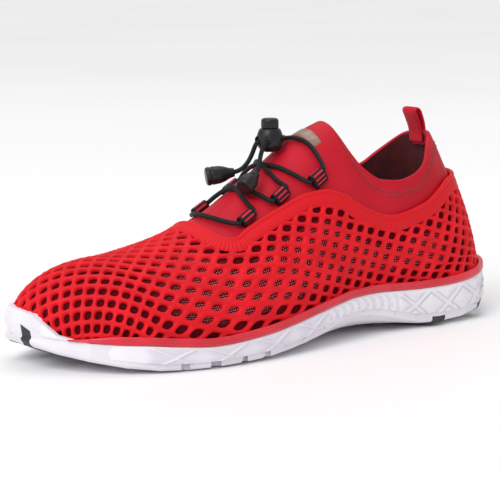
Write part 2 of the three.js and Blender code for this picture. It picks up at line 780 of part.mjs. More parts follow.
// Ribs on the side of the foam, crossed or not, between two places. lean is half of a rib's reach along
// the sole, as a share of its length.
const ribRows = [
  { from: 0.19, to: 0.48, count: 4, lean: 0.03, width: 1.4, steps: 1, crossed: true },
  { from: 0.54, to: 0.7, count: 5, lean: 0.01, width: 1.2, steps: 1, crossed: false },
  { from: 0.78, to: 0.94, count: 2, lean: 0.04, width: 1.4, steps: 3, crossed: true },
];

function rib(row, side, at0, at1) {
  const half = row.width / soleLength / 2;
  const sections = Array.from({ length: row.steps + 1 }, (_, i) => {
    const at = mix(at0, at1, i / row.steps);
    const share = mix(0.12, 0.86, i / row.steps);
    const [before, after, middle] = [at - half, at + half, at].map((a) => station(clamp(a, 0, 0.995), side));
    return [sideWall(before, share, -1), sideWall(after, share, -1), sideWall(middle, share, ribRaise)];
  });
  return solidOfTube(sections);
}

function makeRibs() {
  const made = [];
  ribRows.forEach((row) => {
    for (let i = 0; i < row.count; i += 1) {
      const at = mix(row.from, row.to, i / (row.count - 1));
      ["lateral", "medial"].forEach((side) => {
        made.push(rib(row, side, at - row.lean, at + row.lean));
        if (row.crossed) made.push(rib(row, side, at + row.lean, at - row.lean));
      });
    }
  });
  return made.reduce((all, one) => all.add(one));
}

function makeMidsole() {
  return largest(
    soleForm(0, rubberProud)
      .add(makeRibs())
      .subtract(drainPrisms(0))
      .subtract(makePockets())
      .subtract(rubberRoom(forefootLimbs))
      .subtract(rubberRoom(heelLimbs)),
  );
}

// The red strip round the foot of the upper
function makeStrip() {
  const start = ring.findIndex((st) => st.at >= 0.049);
  const end = ring.length - ring.slice().reverse().findIndex((st) => st.at > 0.15);
  const sections = ring.slice(start, end).map((st) => {
    const base = seatAlong(st, st.reach - 1) + gap;
    const inner = st.reach - stripWall;
    const outer = st.reach - gap;
    const top = base + stripHeight;
    return [
      placed(st, inner, base),
      placed(st, outer - 0.6, base),
      placed(st, outer, mix(base, top, 0.4)),
      placed(st, outer - 1.1, top),
      placed(st, inner, top),
    ];
  });
  return solidOfTube(sections);
}

// A solid swept through sections that don't close on each other, with flat ends
function solidOfTube(sections) {
  const points = sections.flat();
  const n = sections[0].length;
  const faces = [];
  for (let i = 0; i + 1 < sections.length; i += 1) {
    for (let j = 0; j < n; j += 1) {
      const k = (j + 1) % n;
      const here = i * n;
      const next = here + n;
      faces.push([here + j, next + j, next + k], [here + j, next + k, here + k]);
    }
  }
  const last = (sections.length - 1) * n;
  for (let j = 1; j + 1 < n; j += 1) {
    faces.push([0, j, j + 1], [last, last + j + 1, last + j]);
  }
  const made = solidOfFaces(points, faces);
  return made.volume() < 0 ? solidOfFaces(points, faces.map(([a, b, c]) => [a, c, b])) : made;
}

function makeInsole() {
  return solidOfRings(
    ring.map((st) => {
      const low = radiusAt(st, wallPoint(st, 0, meshIn)[2] + 0.6, meshIn) - 2 * gap;
      const base = (r) => seatAlong(st, r) + gap;
      const high = Math.min(low, radiusAt(st, base(low) + insoleThickness, meshIn) - 2 * gap);
      const top = base(low) + insoleThickness;
      return [
        placed(st, 0, base(0)),
        placed(st, low, base(low)),
        placed(st, high, top),
        placed(st, 0, base(0) + insoleThickness),
      ];
    }),
  );
}

// Lacing

// Turn of the lateral wall's point that stands at a given Y
function turnAt(st, y, off) {
  const ridge = wallPoint(st, 1, off)[1];
  let low = 0;
  let high = 1;
  for (let i = 0; i < 26; i += 1) {
    const turn = (low + high) / 2;
    if (Math.abs(wallPoint(st, turn, off)[1] - ridge) > Math.abs(y - ridge)) low = turn;
    else high = turn;
  }
  return (low + high) / 2;
}

// The surface at a distance outside the last over a place in plan
function surfacePoint(x, y, off) {
  const at = atX(x);
  const ridge = wallPoint(station(at, "lateral"), 1, off)[1];
  const st = station(at, y < ridge ? "lateral" : "medial");
  return new THREE.Vector3(...wallPoint(st, turnAt(st, y, off), off));
}

// Cord loops from toe to heel: how far the fold and the seam stand out to the lateral side, as shares of
// ballWidth. The medial ones stand as high up the other side.
const loopRows = [
  { at: 0.4158, fold: 0.15, seam: 0.174 },
  { at: 0.4849, fold: 0.161, seam: 0.188 },
  { at: 0.5582, fold: 0.189, seam: 0.219 },
];

function loopFrame(row, side) {
  const off = bootieOut + loopLift;
  const step = loopWidth / 2 / soleLength;
  const point = (at, reach) => {
    const turn = turnAt(station(row.at, "lateral"), -reach * ballWidth, off);
    return new THREE.Vector3(...wallPoint(station(at, side), turn, off));
  };
  const fold = point(row.at, row.fold);
  const seam = point(row.at, row.seam);
  const along = point(row.at + step, row.fold).sub(point(row.at - step, row.fold)).normalize();
  const toFold = fold.clone().sub(seam);
  toFold.addScaledVector(along, -toFold.dot(along));
  const length = toFold.length();
  toFold.normalize();
  const normal = along.clone().cross(toFold).normalize();
  if (normal.z < 0) normal.negate();
  return { fold, along, toFold, normal, length };
}

function eyeRadius() {
  return cordDiameter / 2 + 1.8 * gap;
}

// Middle of the cord inside a loop, u mm along it
function eyePoint(frame, u) {
  return frame.fold
    .clone()
    .addScaledVector(frame.normal, eyeRadius() + webbing)
    .addScaledVector(frame.along, u);
}

function makeLoop(frame) {
  const radius = eyeRadius() + webbing;
  const shape = new THREE.Shape();
  shape.moveTo(-frame.length, 0);
  shape.lineTo(0, 0);
  shape.absarc(0, radius, radius, -Math.PI / 2, Math.PI / 2, false);
  shape.lineTo(-1.2 * radius, 1.55 * radius);
  shape.lineTo(-frame.length, 2 * webbing);
  shape.closePath();
  const eye = new THREE.Path();
  eye.absarc(0, radius, eyeRadius(), 0, 2 * Math.PI, true);
  shape.holes.push(eye);
  const geometry = new THREE.ExtrudeGeometry(shape, {
    depth: loopWidth,
    bevelEnabled: false,
    curveSegments: 4,
  });
  geometry.translate(0, 0, -loopWidth / 2);
  const across = frame.toFold.clone().cross(frame.normal);
  const basis = new THREE.Matrix4().makeBasis(frame.toFold, frame.normal, across);
  basis.setPosition(frame.fold);
  geometry.applyMatrix4(basis);
  return solidOfGeometry(geometry);
}

// A round cord through points
function cordThrough(points, radius, sides, steps) {
  const curve = new THREE.CatmullRomCurve3(points, false, "centripetal");
  const frames = curve.computeFrenetFrames(steps, false);
  const sections = [];
  for (let i = 0; i <= steps; i += 1) {
    const middle = curve.getPointAt(i / steps);
    const ring = [];
    for (let j = 0; j < sides; j += 1) {
      const a = (j / sides) * 2 * Math.PI;
      const p = middle
        .clone()
        .addScaledVector(frames.normals[i], radius * Math.cos(a))
        .addScaledVector(frames.binormals[i], radius * Math.sin(a));
      ring.push([p.x, p.y, p.z]);
    }
    sections.push(ring);
  }
  return solidOfTube(sections);
}

const lateralLoops = loopRows.map((row) => loopFrame(row, "lateral"));
const medialLoops = loopRows.map((row) => loopFrame(row, "medial"));

// A point over the tongue at a distance from it, from its X and Y
function over(x, y, lift) {
  return surfacePoint(x, y, bootieOut + lift);
}

// A point straight above the tongue, from its place along the sole and to the medial side
function above(at, across, lift) {
  const point = over(xAt(at), across * ballWidth, 0);
  point.z += lift;
  return point;
}

// Runs of cord between two loops, across the tongue. end picks a loop's toe end (-1) or its heel end (1),
// and middle is the place along the sole where the run crosses the ridge.
const runRows = [
  { side: "lateral", from: 0, fromEnd: -1, to: 0, toEnd: -1, middle: 0.3699 },
  { side: "lateral", from: 0, fromEnd: 1, to: 1, toEnd: -1, middle: 0.4397 },
  { side: "medial", from: 0, fromEnd: 1, to: 1, toEnd: -1, middle: 0.4411 },
  { side: "lateral", from: 1, fromEnd: 1, to: 2, toEnd: -1, middle: 0.4979 },
  { side: "medial", from: 1, fromEnd: 1, to: 2, toEnd: -1, middle: 0.5 },
];

function runBetween(row) {
  const mine = row.side === "lateral" ? lateralLoops : medialLoops;
  const others = row.side === "lateral" ? medialLoops : lateralLoops;
  const from = mine[row.from];
  const to = others[row.to];
  const a = eyePoint(from, row.fromEnd * (loopWidth / 2 + 1.2));
  const b = eyePoint(to, row.toEnd * (loopWidth / 2 + 1.2));
  const inner = [0.14, 0.32, 0.5, 0.68, 0.86].map((t) => {
    const sag = (xAt(row.middle) - (a.x + b.x) / 2) * 4 * t * (1 - t);
    return over(mix(a.x, b.x, t) + sag, mix(a.y, b.y, t), cordLift);
  });
  return [
    eyePoint(from, 0),
    eyePoint(from, (row.fromEnd * loopWidth) / 3),
    a,
    ...inner,
    b,
    eyePoint(to, (row.toEnd * loopWidth) / 3),
    eyePoint(to, 0),
  ];
}

function makeCrossings() {
  const runs = [
    ...runRows.map(runBetween),
    toLock(lateralLoops[2], "lateral"),
    toLock(medialLoops[2], "medial"),
  ];
  return runs
    .map((points) => cordThrough(points, cordDiameter / 2, 6, 9))
    .reduce((all, one) => all.add(one));
}

// Cord lock: a ball with a button on top and two bores that run toe to heel. side is -1 for the lateral
// bore and 1 for the medial one.
const lockMiddle = above(0.5219, 0.0421, lockLift);

function lockBore(side, along) {
  const across = new THREE.Vector3(0, 0, 1).cross(lockAim).normalize();
  if (across.y < 0) across.negate();
  return lockMiddle
    .clone()
    .addScaledVector(across, (side * lockBoreSpacing) / 2)
    .addScaledVector(lockAim, along);
}

// Plan of the cord's way from the last loops up to the lock: the place along the sole, and on each side
// how far it stands to the medial side as a share of ballWidth
const climbRows = [
  { at: 0.574, lateral: -0.143, medial: 0.177 },
  { at: 0.5699, lateral: -0.083, medial: 0.124 },
  { at: 0.5623, lateral: -0.01, medial: 0.073 },
];

function toLock(frame, side) {
  const bore = side === "lateral" ? -1 : 1;
  return [
    eyePoint(frame, 0),
    eyePoint(frame, loopWidth / 3),
    eyePoint(frame, loopWidth / 2 + 1),
    ...climbRows.map((row) => over(xAt(row.at), row[side] * ballWidth, cordLift)),
    lockBore(bore, -lockBall / 2 - 1.5),
    lockBore(bore, -lockBall / 2 + 2),
  ];
}

function sized(profile, size) {
  return profile.map(([r, z]) => [r * size, z * size]);
}

// Profiles of the lock's ball and of its button, as shares of lockBall
const lockProfile = [
  [0, -0.464],
  [0.246, -0.457],
  [0.406, -0.348],
  [0.5, -0.116],
  [0.5, 0.13],
  [0.428, 0.333],
  [0.377, 0.42],
  [0.283, 0.42],
  [0.283, 0.232],
  [0, 0.232],
];
const buttonProfile = [
  [0, 0.254],
  [0.257, 0.254],
  [0.257, 0.442],
  [0.333, 0.464],
  [0.333, 0.739],
  [0.275, 0.812],
  [0, 0.812],
];

function makeLockBody() {
  const ball = latheSolid(sized(lockProfile, lockBall), 12);
  const placedBall = ball.translate(lockMiddle.toArray());
  const bores = [-1, 1].map((side) => {
    const points = [-1, 0, 1].map((end) => lockBore(side, end * lockBall));
    return cordThrough(points, cordDiameter / 2 + 1.6 * gap, 6, 2);
  });
  return bores.reduce((all, bore) => all.subtract(bore), placedBall);
}

function makeLockButton() {
  const button = latheSolid(sized(buttonProfile, lockBall), 12);
  const slot = new THREE.BoxGeometry(0.12 * lockBall, lockBall, 0.16 * lockBall);
  slot.translate(0, 0, 0.79 * lockBall);
  return button.subtract(solidOfGeometry(slot)).translate(lockMiddle.toArray());
}

function latheSolid(profile, sides) {
  const points = profile.map(([r, z]) => new THREE.Vector2(r, z));
  const geometry = new THREE.LatheGeometry(points, sides);
  geometry.rotateX(Math.PI / 2);
  const n = points.length;
  const position = geometry.attributes.position;
  const rings = [];
  for (let i = 0; i < sides; i += 1) {
    const ring = [];
    for (let j = 0; j < n; j += 1) {
      const k = i * n + j;
      ring.push([position.getX(k), position.getY(k), position.getZ(k)]);
    }
    rings.push(ring);
  }
  const made = solidOfRings(rings);
  return made.volume() < 0 ? solidOfRings(rings.reverse()) : made;
}

// Cord ends hang from the lock's bores to two bell-shaped stoppers. via is a point of the cord, nose and
// tail are the ends of the bell, each as the place along the sole, across to the medial side as a share of
// ballWidth, and the height above the tongue.
const bellRows = [
  { bore: 1, via: [0.4925, 0.086, 7.6], nose: [0.4507, 0.0727, 8.1], tail: [0.4055, 0.1377, 16.8] },
  { bore: -1, via: [0.4815, -0.0172, 8.8], nose: [0.4603, -0.0707, 9.5], tail: [0.426, -0.0937, 10.3] },
];

function bellAim(row) {
  return above(...row.tail).sub(above(...row.nose)).normalize();
}

function makeTail(row) {
  const inLock = [-0.33, -0.14, 0.1].map((share) => lockBore(row.bore, share * lockBall));
  const out = [0.4, 0.58].map((share) => lockBore(row.bore, share * lockBall));
  const nose = above(...row.nose);
  const inside = nose.clone().addScaledVector(bellAim(row), bellBore - gap);
  const before = nose.clone().addScaledVector(bellAim(row), -3);
  return cordThrough(
    [...inLock, ...out, above(...row.via), before, nose, inside],
    cordDiameter / 2,
    6,
    11,
  );
}

function makeBell(row) {
  const nose = above(...row.nose);
  const length = above(...row.tail).distanceTo(nose);
  const bore = cordDiameter / 2 + gap;
  const radius = bellWidth / 2;
  const profile = [
    [0, bellBore],
    [bore, bellBore],
    [bore, 0],
    [0.46 * radius, 0],
    [0.56 * radius, 0.16 * length],
    [0.94 * radius, 0.46 * length],
    [radius, 0.93 * length],
    [0.88 * radius, length],
    [0, length],
  ];
  const turn = new THREE.Quaternion().setFromUnitVectors(new THREE.Vector3(0, 0, 1), bellAim(row));
  const matrix = new THREE.Matrix4().makeRotationFromQuaternion(turn);
  matrix.setPosition(nose);
  return latheSolid(profile, 10).transform(matrix.elements);
}

// Side view of the pull loop and of its opening: ahead is to the toe, both in shares of pullHeight
const pullRows = [
  { ahead: 0.109, up: 0 },
  { ahead: -0.109, up: 0 },
  { ahead: 0, up: 0.507 },
  { ahead: 0.159, up: 0.87 },
  { ahead: 0.319, up: 1 },
  { ahead: 0.493, up: 0.942 },
  { ahead: 0.493, up: 0.797 },
  { ahead: 0.29, up: 0.435 },
];
const pullOpeningRows = [
  { ahead: 0.065, up: 0.217 },
  { ahead: 0.217, up: 0.507 },
  { ahead: 0.399, up: 0.819 },
  { ahead: 0.362, up: 0.884 },
  { ahead: 0.261, up: 0.841 },
  { ahead: 0.094, up: 0.493 },
  { ahead: -0.014, up: 0.217 },
];

function pullPoint(row) {
  return new THREE.Vector2(-row.ahead * pullHeight, row.up * pullHeight);
}

// Loop at the back of the collar for pulling the shoe on
function makePullLoop() {
  const shape = new THREE.Shape(pullRows.map(pullPoint));
  shape.holes.push(new THREE.Path(pullOpeningRows.map(pullPoint)));
  const geometry = new THREE.ExtrudeGeometry(shape, { depth: pullWidth, bevelEnabled: false });
  geometry.rotateX(Math.PI / 2);
  const back = surfaceBack();
  geometry.translate(back.x, back.y + pullWidth / 2, back.z + gap);
  return solidOfGeometry(geometry);
}

// Middle of the collar's rim at the back
function surfaceBack() {
  const st = station(1, "lateral");
  const z = rimZ(1, "lateral");
  const r = radiusAt(st, z, (bootieIn + bootieOut) / 2);
  return new THREE.Vector3(...placed(st, r, z));
}

// Assembly

const looks = {
  mesh: new THREE.MeshStandardMaterial({ color: 0xe01f2b, roughness: 0.75, metalness: 0 }),
  neoprene: new THREE.MeshStandardMaterial({ color: 0xc4102a, roughness: 0.6, metalness: 0 }),
  foam: new THREE.MeshStandardMaterial({ color: 0xf4f3f6, roughness: 0.5, metalness: 0 }),
  strip: new THREE.MeshStandardMaterial({ color: 0xdc2238, roughness: 0.4, metalness: 0 }),
  rubber: new THREE.MeshStandardMaterial({ color: 0x2e3034, roughness: 0.6, metalness: 0 }),
  lining: new THREE.MeshStandardMaterial({ color: 0x6f6870, roughness: 0.9, metalness: 0 }),
  cord: new THREE.MeshStandardMaterial({ color: 0x1f2023, roughness: 0.7, metalness: 0 }),
  plastic: new THREE.MeshStandardMaterial({ color: 0x26272a, roughness: 0.4, metalness: 0 }),
};

const shoe = new THREE.Group();

function addPiece(name, solid, look) {
  const mesh = new THREE.Mesh(geometryOfSolid(solid), look);
  mesh.name = name;
  shoe.add(mesh);
}

addPiece("midsole", makeMidsole(), looks.foam);
addPiece("forefoot_rubber", makeRubber(forefootLimbs), looks.rubber);
addPiece("heel_rubber", makeRubber(heelLimbs), looks.rubber);
addPiece("insole", makeInsole(), looks.lining);
addPiece("foxing_strip", makeStrip(), looks.strip);
addPiece("mesh_upper", makeUpper(), looks.mesh);
addPiece("neoprene_bootie", makeBootie(), looks.neoprene);
lateralLoops.forEach((frame, i) => addPiece(`cord_loop_lateral_${i + 1}`, makeLoop(frame), looks.cord));
medialLoops.forEach((frame, i) => addPiece(`cord_loop_medial_${i + 1}`, makeLoop(frame), looks.cord));
addPiece("lace_crossings", makeCrossings(), looks.cord);
bellRows.forEach((row, i) => {
  addPiece(`lace_tail_${i + 1}`, makeTail(row), looks.cord);
  addPiece(`cord_bell_${i + 1}`, makeBell(row), looks.plastic);
});
addPiece("cord_lock_body", makeLockBody(), looks.plastic);
addPiece("cord_lock_button", makeLockButton(), looks.plastic);
addPiece("pull_loop", makePullLoop(), looks.neoprene);

export default shoe;
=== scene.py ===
import math

import bpy
import numpy as np
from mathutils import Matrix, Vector


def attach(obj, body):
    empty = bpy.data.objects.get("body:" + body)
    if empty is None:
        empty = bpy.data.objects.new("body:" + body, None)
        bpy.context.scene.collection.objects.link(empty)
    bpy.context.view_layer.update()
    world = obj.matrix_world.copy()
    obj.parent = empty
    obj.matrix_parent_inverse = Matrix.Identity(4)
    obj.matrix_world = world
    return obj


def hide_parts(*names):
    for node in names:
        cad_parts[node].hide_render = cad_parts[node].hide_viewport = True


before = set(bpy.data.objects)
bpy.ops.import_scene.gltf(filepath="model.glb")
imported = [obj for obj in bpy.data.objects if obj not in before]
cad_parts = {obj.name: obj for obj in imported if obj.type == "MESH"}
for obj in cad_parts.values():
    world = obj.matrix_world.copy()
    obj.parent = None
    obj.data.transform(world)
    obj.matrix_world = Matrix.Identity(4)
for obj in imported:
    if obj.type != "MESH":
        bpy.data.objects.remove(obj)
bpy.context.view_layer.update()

# A left water shoe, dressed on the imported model. Sizes are in millimetres, as in the model's own source,
# and MM turns them into metres. Side -1 is lateral and 1 is medial. A place along the sole, called at,
# runs from 0 at the toe to 1 at the heel.
MM = 0.001
SIDES = ((-1, "lateral"), (1, "medial"))

SOLE_LENGTH = 292
BALL_WIDTH = 104.6
HEEL_WIDTH = 84.4
HEEL_STACK = 21
TOE_SPRING = 14
ARCH_LIFT = 14
BUMPER_HEIGHT = 12.5
BUMPER_WALL = 2.6
EDGE_ROUND = 1.8
INSTEP_HEIGHT = 105
MESH_WALL = 1.8
BOOTIE_WALL = 2.2
BOOTIE_OVERLAP = 9
STRIP_HEIGHT = 4
STRIP_WALL = 3
CORD_DIAMETER = 2.4
WEBBING = 0.8
LOOP_WIDTH = 9
LOOP_LIFT = 0.5
LOCK_BALL = 13.8
LOCK_BORE_SPACING = 5.4
LOCK_LIFT = 9.8
BELL_BORE = 5
BELL_WIDTH = 9.6
GAP = 0.3
TOE_FAN = 0.17
HEEL_FAN = 0.8
THROAT_AT = 0.343
TONGUE_AT = 0.632
CORD_LIFT = CORD_DIAMETER / 2 + 1
LOCK_AIM = np.array([-0.956, -0.288, 0]) / math.hypot(0.956, 0.288)

MESH_OUT = BOOTIE_WALL + MESH_WALL + 2.4 * GAP
MESH_IN = BOOTIE_WALL + 2.4 * GAP
BOOTIE_OUT = BOOTIE_WALL + GAP
BOOTIE_IN = GAP
FEATHER_INSET = STRIP_WALL + GAP + MESH_OUT

# Sole outline: at, half the width and the middle, as shares
OUTLINE = [
    (0, 0, 0.075), (0.016, 0.151, 0.061), (0.06, 0.286, 0.026), (0.124, 0.406, 0.005),
    (0.189, 0.469, -0.01), (0.269, 0.5, -0.026), (0.365, 0.484, -0.044), (0.5, 0.425, -0.055),
    (0.6, 0.403, -0.062), (0.638, 0.407, -0.058), (0.723, 0.453, -0.036), (0.763, 0.481, -0.014),
    (0.843, 0.5, 0.004), (0.914, 0.451, 0.012), (0.946, 0.385, 0.018), (0.978, 0.268, 0.024),
    (0.994, 0.142, 0.026), (1, 0, 0.026),
]
# Heights along the sole: at, seat, underside and lift of its edge
SOLE = [
    (0, 0.77, 1, 0.02), (0.02, 0.77, 0.72, 0.02), (0.05, 0.74, 0.5, 0.02), (0.1, 0.68, 0.25, 0.01),
    (0.15, 0.64, 0.08, 0), (0.2, 0.57, 0, 0), (0.27, 0.5, 0, 0), (0.36, 0.58, 0, 0.05),
    (0.44, 0.72, 0, 0.22), (0.5, 0.86, 0.05, 0.4), (0.55, 0.97, 0.12, 0.6), (0.6, 1.05, 0.18, 0.64),
    (0.65, 1.06, 0.17, 0.52), (0.7, 1.03, 0.12, 0.3), (0.76, 1, 0.03, 0.12), (0.8, 1, 0, 0.1),
    (0.86, 1.04, 0, 0.16), (0.9, 1.08, 0, 0.25), (0.95, 1.16, 0.12, 0.4), (0.985, 1.22, 0.34, 0.46),
    (1, 1.25, 0.42, 0.48),
]
# Toe bumper: at, rise on the lateral side and on the medial side
BUMPER = [
    (0, 1, 1), (0.008, 0.9, 1), (0.022, 0.45, 0.98), (0.038, 0.12, 0.93), (0.055, 0, 0.85),
    (0.09, 0, 0.5), (0.125, 0, 0.1), (0.15, 0, 0), (1, 0, 0),
]
# Last: at, ridge, crown, lean, bulge and swing
LAST = [
    (0, 0.455, 2.6, 0.96, 0.02, 0), (0.1, 0.465, 2.5, 0.93, 0.03, 0.01),
    (0.17, 0.475, 2.35, 0.9, 0.03, 0.02), (0.25, 0.512, 2.2, 0.86, 0.03, 0.03),
    (0.32, 0.565, 2.1, 0.82, 0.03, 0.045), (0.38, 0.64, 2.1, 0.79, 0.03, 0.055),
    (0.45, 0.76, 2.2, 0.78, 0.02, 0.06), (0.52, 0.89, 2.4, 0.79, 0.02, 0.058),
    (0.58, 1.005, 2.5, 0.8, 0.02, 0.05), (0.63, 1.06, 2.6, 0.81, 0.02, 0.042),
    (0.68, 1.1, 2.8, 0.8, 0.02, 0.032), (0.73, 1.15, 3.1, 0.76, 0.02, 0.005),
    (0.8, 1.18, 3.6, 0.66, 0.03, -0.025), (0.9, 1.18, 4, 0.46, 0.05, -0.025),
    (1, 1.18, 4, 0.33, 0.04, -0.025),
]
MESH_EDGE = [
    (THROAT_AT, 0.6), (0.357, 0.545), (0.375, 0.538), (0.404, 0.576), (0.469, 0.657), (0.534, 0.723),
    (0.565, 0.732), (0.602, 0.703), (0.641, 0.635), (0.709, 0.578), (0.784, 0.621), (0.865, 0.729),
    (1, 0.77),
]
# Rim of the collar: at, height on the lateral side and on the medial side
RIM = [
    (TONGUE_AT, 1.08, 1.08), (0.637, 0.98, 0.98), (0.65, 0.88, 0.88), (0.67, 0.803, 0.803),
    (0.703, 0.747, 0.747), (0.74, 0.738, 0.733), (0.776, 0.76, 0.745), (0.808, 0.815, 0.775),
    (0.83, 0.9, 0.82), (0.856, 0.952, 0.89), (0.878, 0.957, 0.952), (1, 0.957, 0.957),
]


# Curves through the tables

def stretched(at):
    return np.arccos(np.clip(1 - 2 * np.asarray(at, float), -1, 1)) / math.pi


def same(at):
    return np.asarray(at, float)


def column(rows, key, place=stretched):
    """A smooth curve through one column, with no overshoot between its rows."""
    x = place([row[0] for row in rows])
    y = np.array([row[key] for row in rows], float)
    step = np.diff(x)
    chord = np.diff(y) / step
    slope = np.concatenate([chord[:1], np.zeros(len(x) - 2), chord[-1:]])
    bends = chord[:-1] * chord[1:] > 0
    w1 = (2 * step[1:] + step[:-1])[bends]
    w2 = (step[1:] + 2 * step[:-1])[bends]
    slope[1:-1][bends] = (w1 + w2) / (w1 / chord[:-1][bends] + w2 / chord[1:][bends])

    def curve(at):
        p = np.clip(place(at), x[0], x[-1])
        i = np.clip(np.searchsorted(x, p) - 1, 0, len(x) - 2)
        h = step[i]
        t = (p - x[i]) / h
        t2 = t * t
        t3 = t2 * t
        return (
            y[i] * (2 * t3 - 3 * t2 + 1)
            + slope[i] * h * (t3 - 2 * t2 + t)
            + y[i + 1] * (3 * t2 - 2 * t3)
            + slope[i + 1] * h * (t3 - t2)
        )

    return curve


def columns(rows, place=stretched):
    return [column(rows, key, place) for key in range(1, len(rows[0]))]


half_share, mid_share = columns(OUTLINE)
seat_share, under_share, edge_share = columns(SOLE)
bumper_lateral, bumper_medial = columns(BUMPER)
ridge_share, crown_of, lean_of, bulge_of, swing_of = columns(LAST)
mesh_edge_share = column(MESH_EDGE, 1, same)
rim_lateral, rim_medial = columns(RIM, same)


def ease(value, low, high):
    t = np.clip((value - low) / (high - low), 0, 1)
    return t * t * (3 - 2 * t)


def mix(a, b, share):
    return a + (b - a) * share


# The shoe's forms, as functions over arrays

def width_at(at):
    return mix(BALL_WIDTH, HEEL_WIDTH, ease(at, 0.45, 0.75))


def side_shift():
    at = np.linspace(0, 1, 101)
    middle = mid_share(at) * width_at(at)
    half = half_share(at) * width_at(at)
    return -((middle - half).min() + (middle + half).max()) / 2


SIDE_SHIFT = side_shift()


def x_at(at):
    return (at - 0.5) * SOLE_LENGTH


def at_x(x):
    return x / SOLE_LENGTH + 0.5


class Stations:
    """Section planes: each stands on the spine and points to a place on the sole's outline."""

    def __init__(self, at, side):
        self.at, self.side = np.broadcast_arrays(np.asarray(at, float), np.asarray(side, float))
        self.spine = np.clip(self.at, TOE_FAN, HEEL_FAN)
        self.x = x_at(self.spine)
        self.y = mid_share(self.spine) * width_at(self.spine) + SIDE_SHIFT
        rim = (mid_share(self.at) + self.side * half_share(self.at)) * width_at(self.at) + SIDE_SHIFT
        dx = x_at(self.at) - self.x
        dy = rim - self.y
        self.reach = np.hypot(dx, dy)
        self.out_x = dx / self.reach
        self.out_y = dy / self.reach

    def placed(self, r, z, shift=0):
        return np.stack(np.broadcast_arrays(self.x + self.out_x * r, self.y + self.out_y * r + shift, z), -1)


def seat_z(at):
    return seat_share(at) * HEEL_STACK


def under_z(at):
    return under_share(at) * TOE_SPRING


def edge_z(at):
    return under_z(at) + edge_share(at) * ARCH_LIFT


def seat_along(st, r):
    return mix(seat_z(st.spine), seat_z(st.at), r / st.reach)


def wall(at, side, turn, off):
    """Points of the wall at turn 0 on the feather edge to 1 on the ridge, off mm outside the last."""
    st = Stations(at, side)
    turn, off = np.broadcast_arrays(turn, off)
    width = st.reach - FEATHER_INSET
    base = seat_along(st, width + off) + GAP
    top = ridge_share(st.spine) * INSTEP_HEIGHT - MESH_OUT
    crown = crown_of(st.at)
    lean = lean_of(st.at)
    bulge = bulge_of(st.at)

    def shape(angle):
        up = np.maximum(np.sin(angle), 0) ** (2 / crown)
        swell = 1 + bulge * np.sin(math.pi * np.clip(up * 1.6, 0, 1))
        return np.maximum(np.cos(angle), 0) * width * mix(1, lean, up) * swell, base + (top - base) * up

    angle = np.clip(turn, 0, 1) * math.pi / 2
    step = 0.01
    r, z = shape(angle)
    r0, z0 = shape(np.clip(angle - step, 0, math.pi / 2))
    r1, z1 = shape(np.clip(angle + step, 0, math.pi / 2))
    length = np.maximum(np.hypot(r1 - r0, z1 - z0), 1e-9)
    crest = turn >= 1
    out_r = np.where(crest, 0, (z1 - z0) / length)
    out_z = np.where(crest, 1, -(r1 - r0) / length)
    rise = (z - base) / (top - base)
    shift = swing_of(st.spine) * BALL_WIDTH * rise * rise
    return st.placed(np.where(crest, 0, r + off * out_r), np.maximum(base, z + off * out_z), shift)


def skin(at, lap, off):
    """The wall with both sides in one: lap 0 is the lateral edge, 1 the ridge and 2 the medial edge."""
    side = np.where(lap <= 1, -1, 1)
    return wall(at, side, np.where(lap <= 1, lap, 2 - lap), off)


def halved(shape, low_there, passes=24):
    """Shares just below and just above the one from 0 to 1 at which low_there turns false."""
    low = np.zeros(shape)
    high = np.ones(shape)
    for _ in range(passes):
        middle = (low + high) / 2
        still_low = low_there(middle)
        low = np.where(still_low, middle, low)
        high = np.where(still_low, high, middle)
    return low, high


def turn_where(at, side, off, height_at):
    """Turn at which the wall meets a side-view curve of heights, or 1 where it stays below it."""
    def below(turn):
        p = wall(at, side, turn, off)
        return p[..., 2] < height_at(at_x(p[..., 0]))

    low, high = halved(np.shape(at), below)
    return (low + high) / 2


def mesh_edge_z(at):
    z = mesh_edge_share(np.clip(at, THROAT_AT, 1)) * INSTEP_HEIGHT
    return np.where(at < THROAT_AT, 3 * INSTEP_HEIGHT, z)


def rim_z(at, side):
    inside = np.clip(at, TONGUE_AT, 1)
    z = np.where(side < 0, rim_lateral(inside), rim_medial(inside)) * INSTEP_HEIGHT
    return np.where(at < TONGUE_AT, 3 * INSTEP_HEIGHT, z)


# Meshes

def unit(v):
    """Vectors of length 1 that point as v does."""
    return v / np.maximum(np.linalg.norm(v, axis=-1, keepdims=True), 1e-9)


def run_along(points):
    """Distance from the first point to each, along the line through them."""
    return np.concatenate([[0], np.cumsum(np.linalg.norm(np.diff(points, axis=0), axis=1))])


def crowded(count):
    """Shares from 0 to 1, closer together at both ends."""
    return (1 - np.cos(np.linspace(0, math.pi, count))) / 2


def circle(count):
    return np.linspace(0, 2 * math.pi, count, endpoint=False)


def link(obj, *nodes, slot):
    bpy.context.scene.collection.objects.link(obj)
    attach(obj, "root")
    if nodes:
        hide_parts(*nodes)
    return obj


def mesh_piece(name, points, faces, look, slot, nodes=(), uv=None):
    """A piece from points in mm and lists of faces. uv holds a pair of mm for each point."""
    mesh = bpy.data.meshes.new(name)
    points = np.asarray(points).reshape(-1, 3)
    mesh.from_pydata((points * MM).tolist(), [], [list(face) for face in faces])
    mesh.validate()
    mesh.polygons.foreach_set("use_smooth", [True] * len(mesh.polygons))
    if uv is not None:
        layer = mesh.uv_layers.new(name="lay")
        ids = np.zeros(len(mesh.loops), np.int32)
        mesh.loops.foreach_get("vertex_index", ids)
        layer.data.foreach_set("uv", np.asarray(uv, np.float32)[ids].ravel())
    mesh.materials.append(look.material)
    mesh.update()
    return link(bpy.data.objects.new(name, mesh), *nodes, slot=slot)


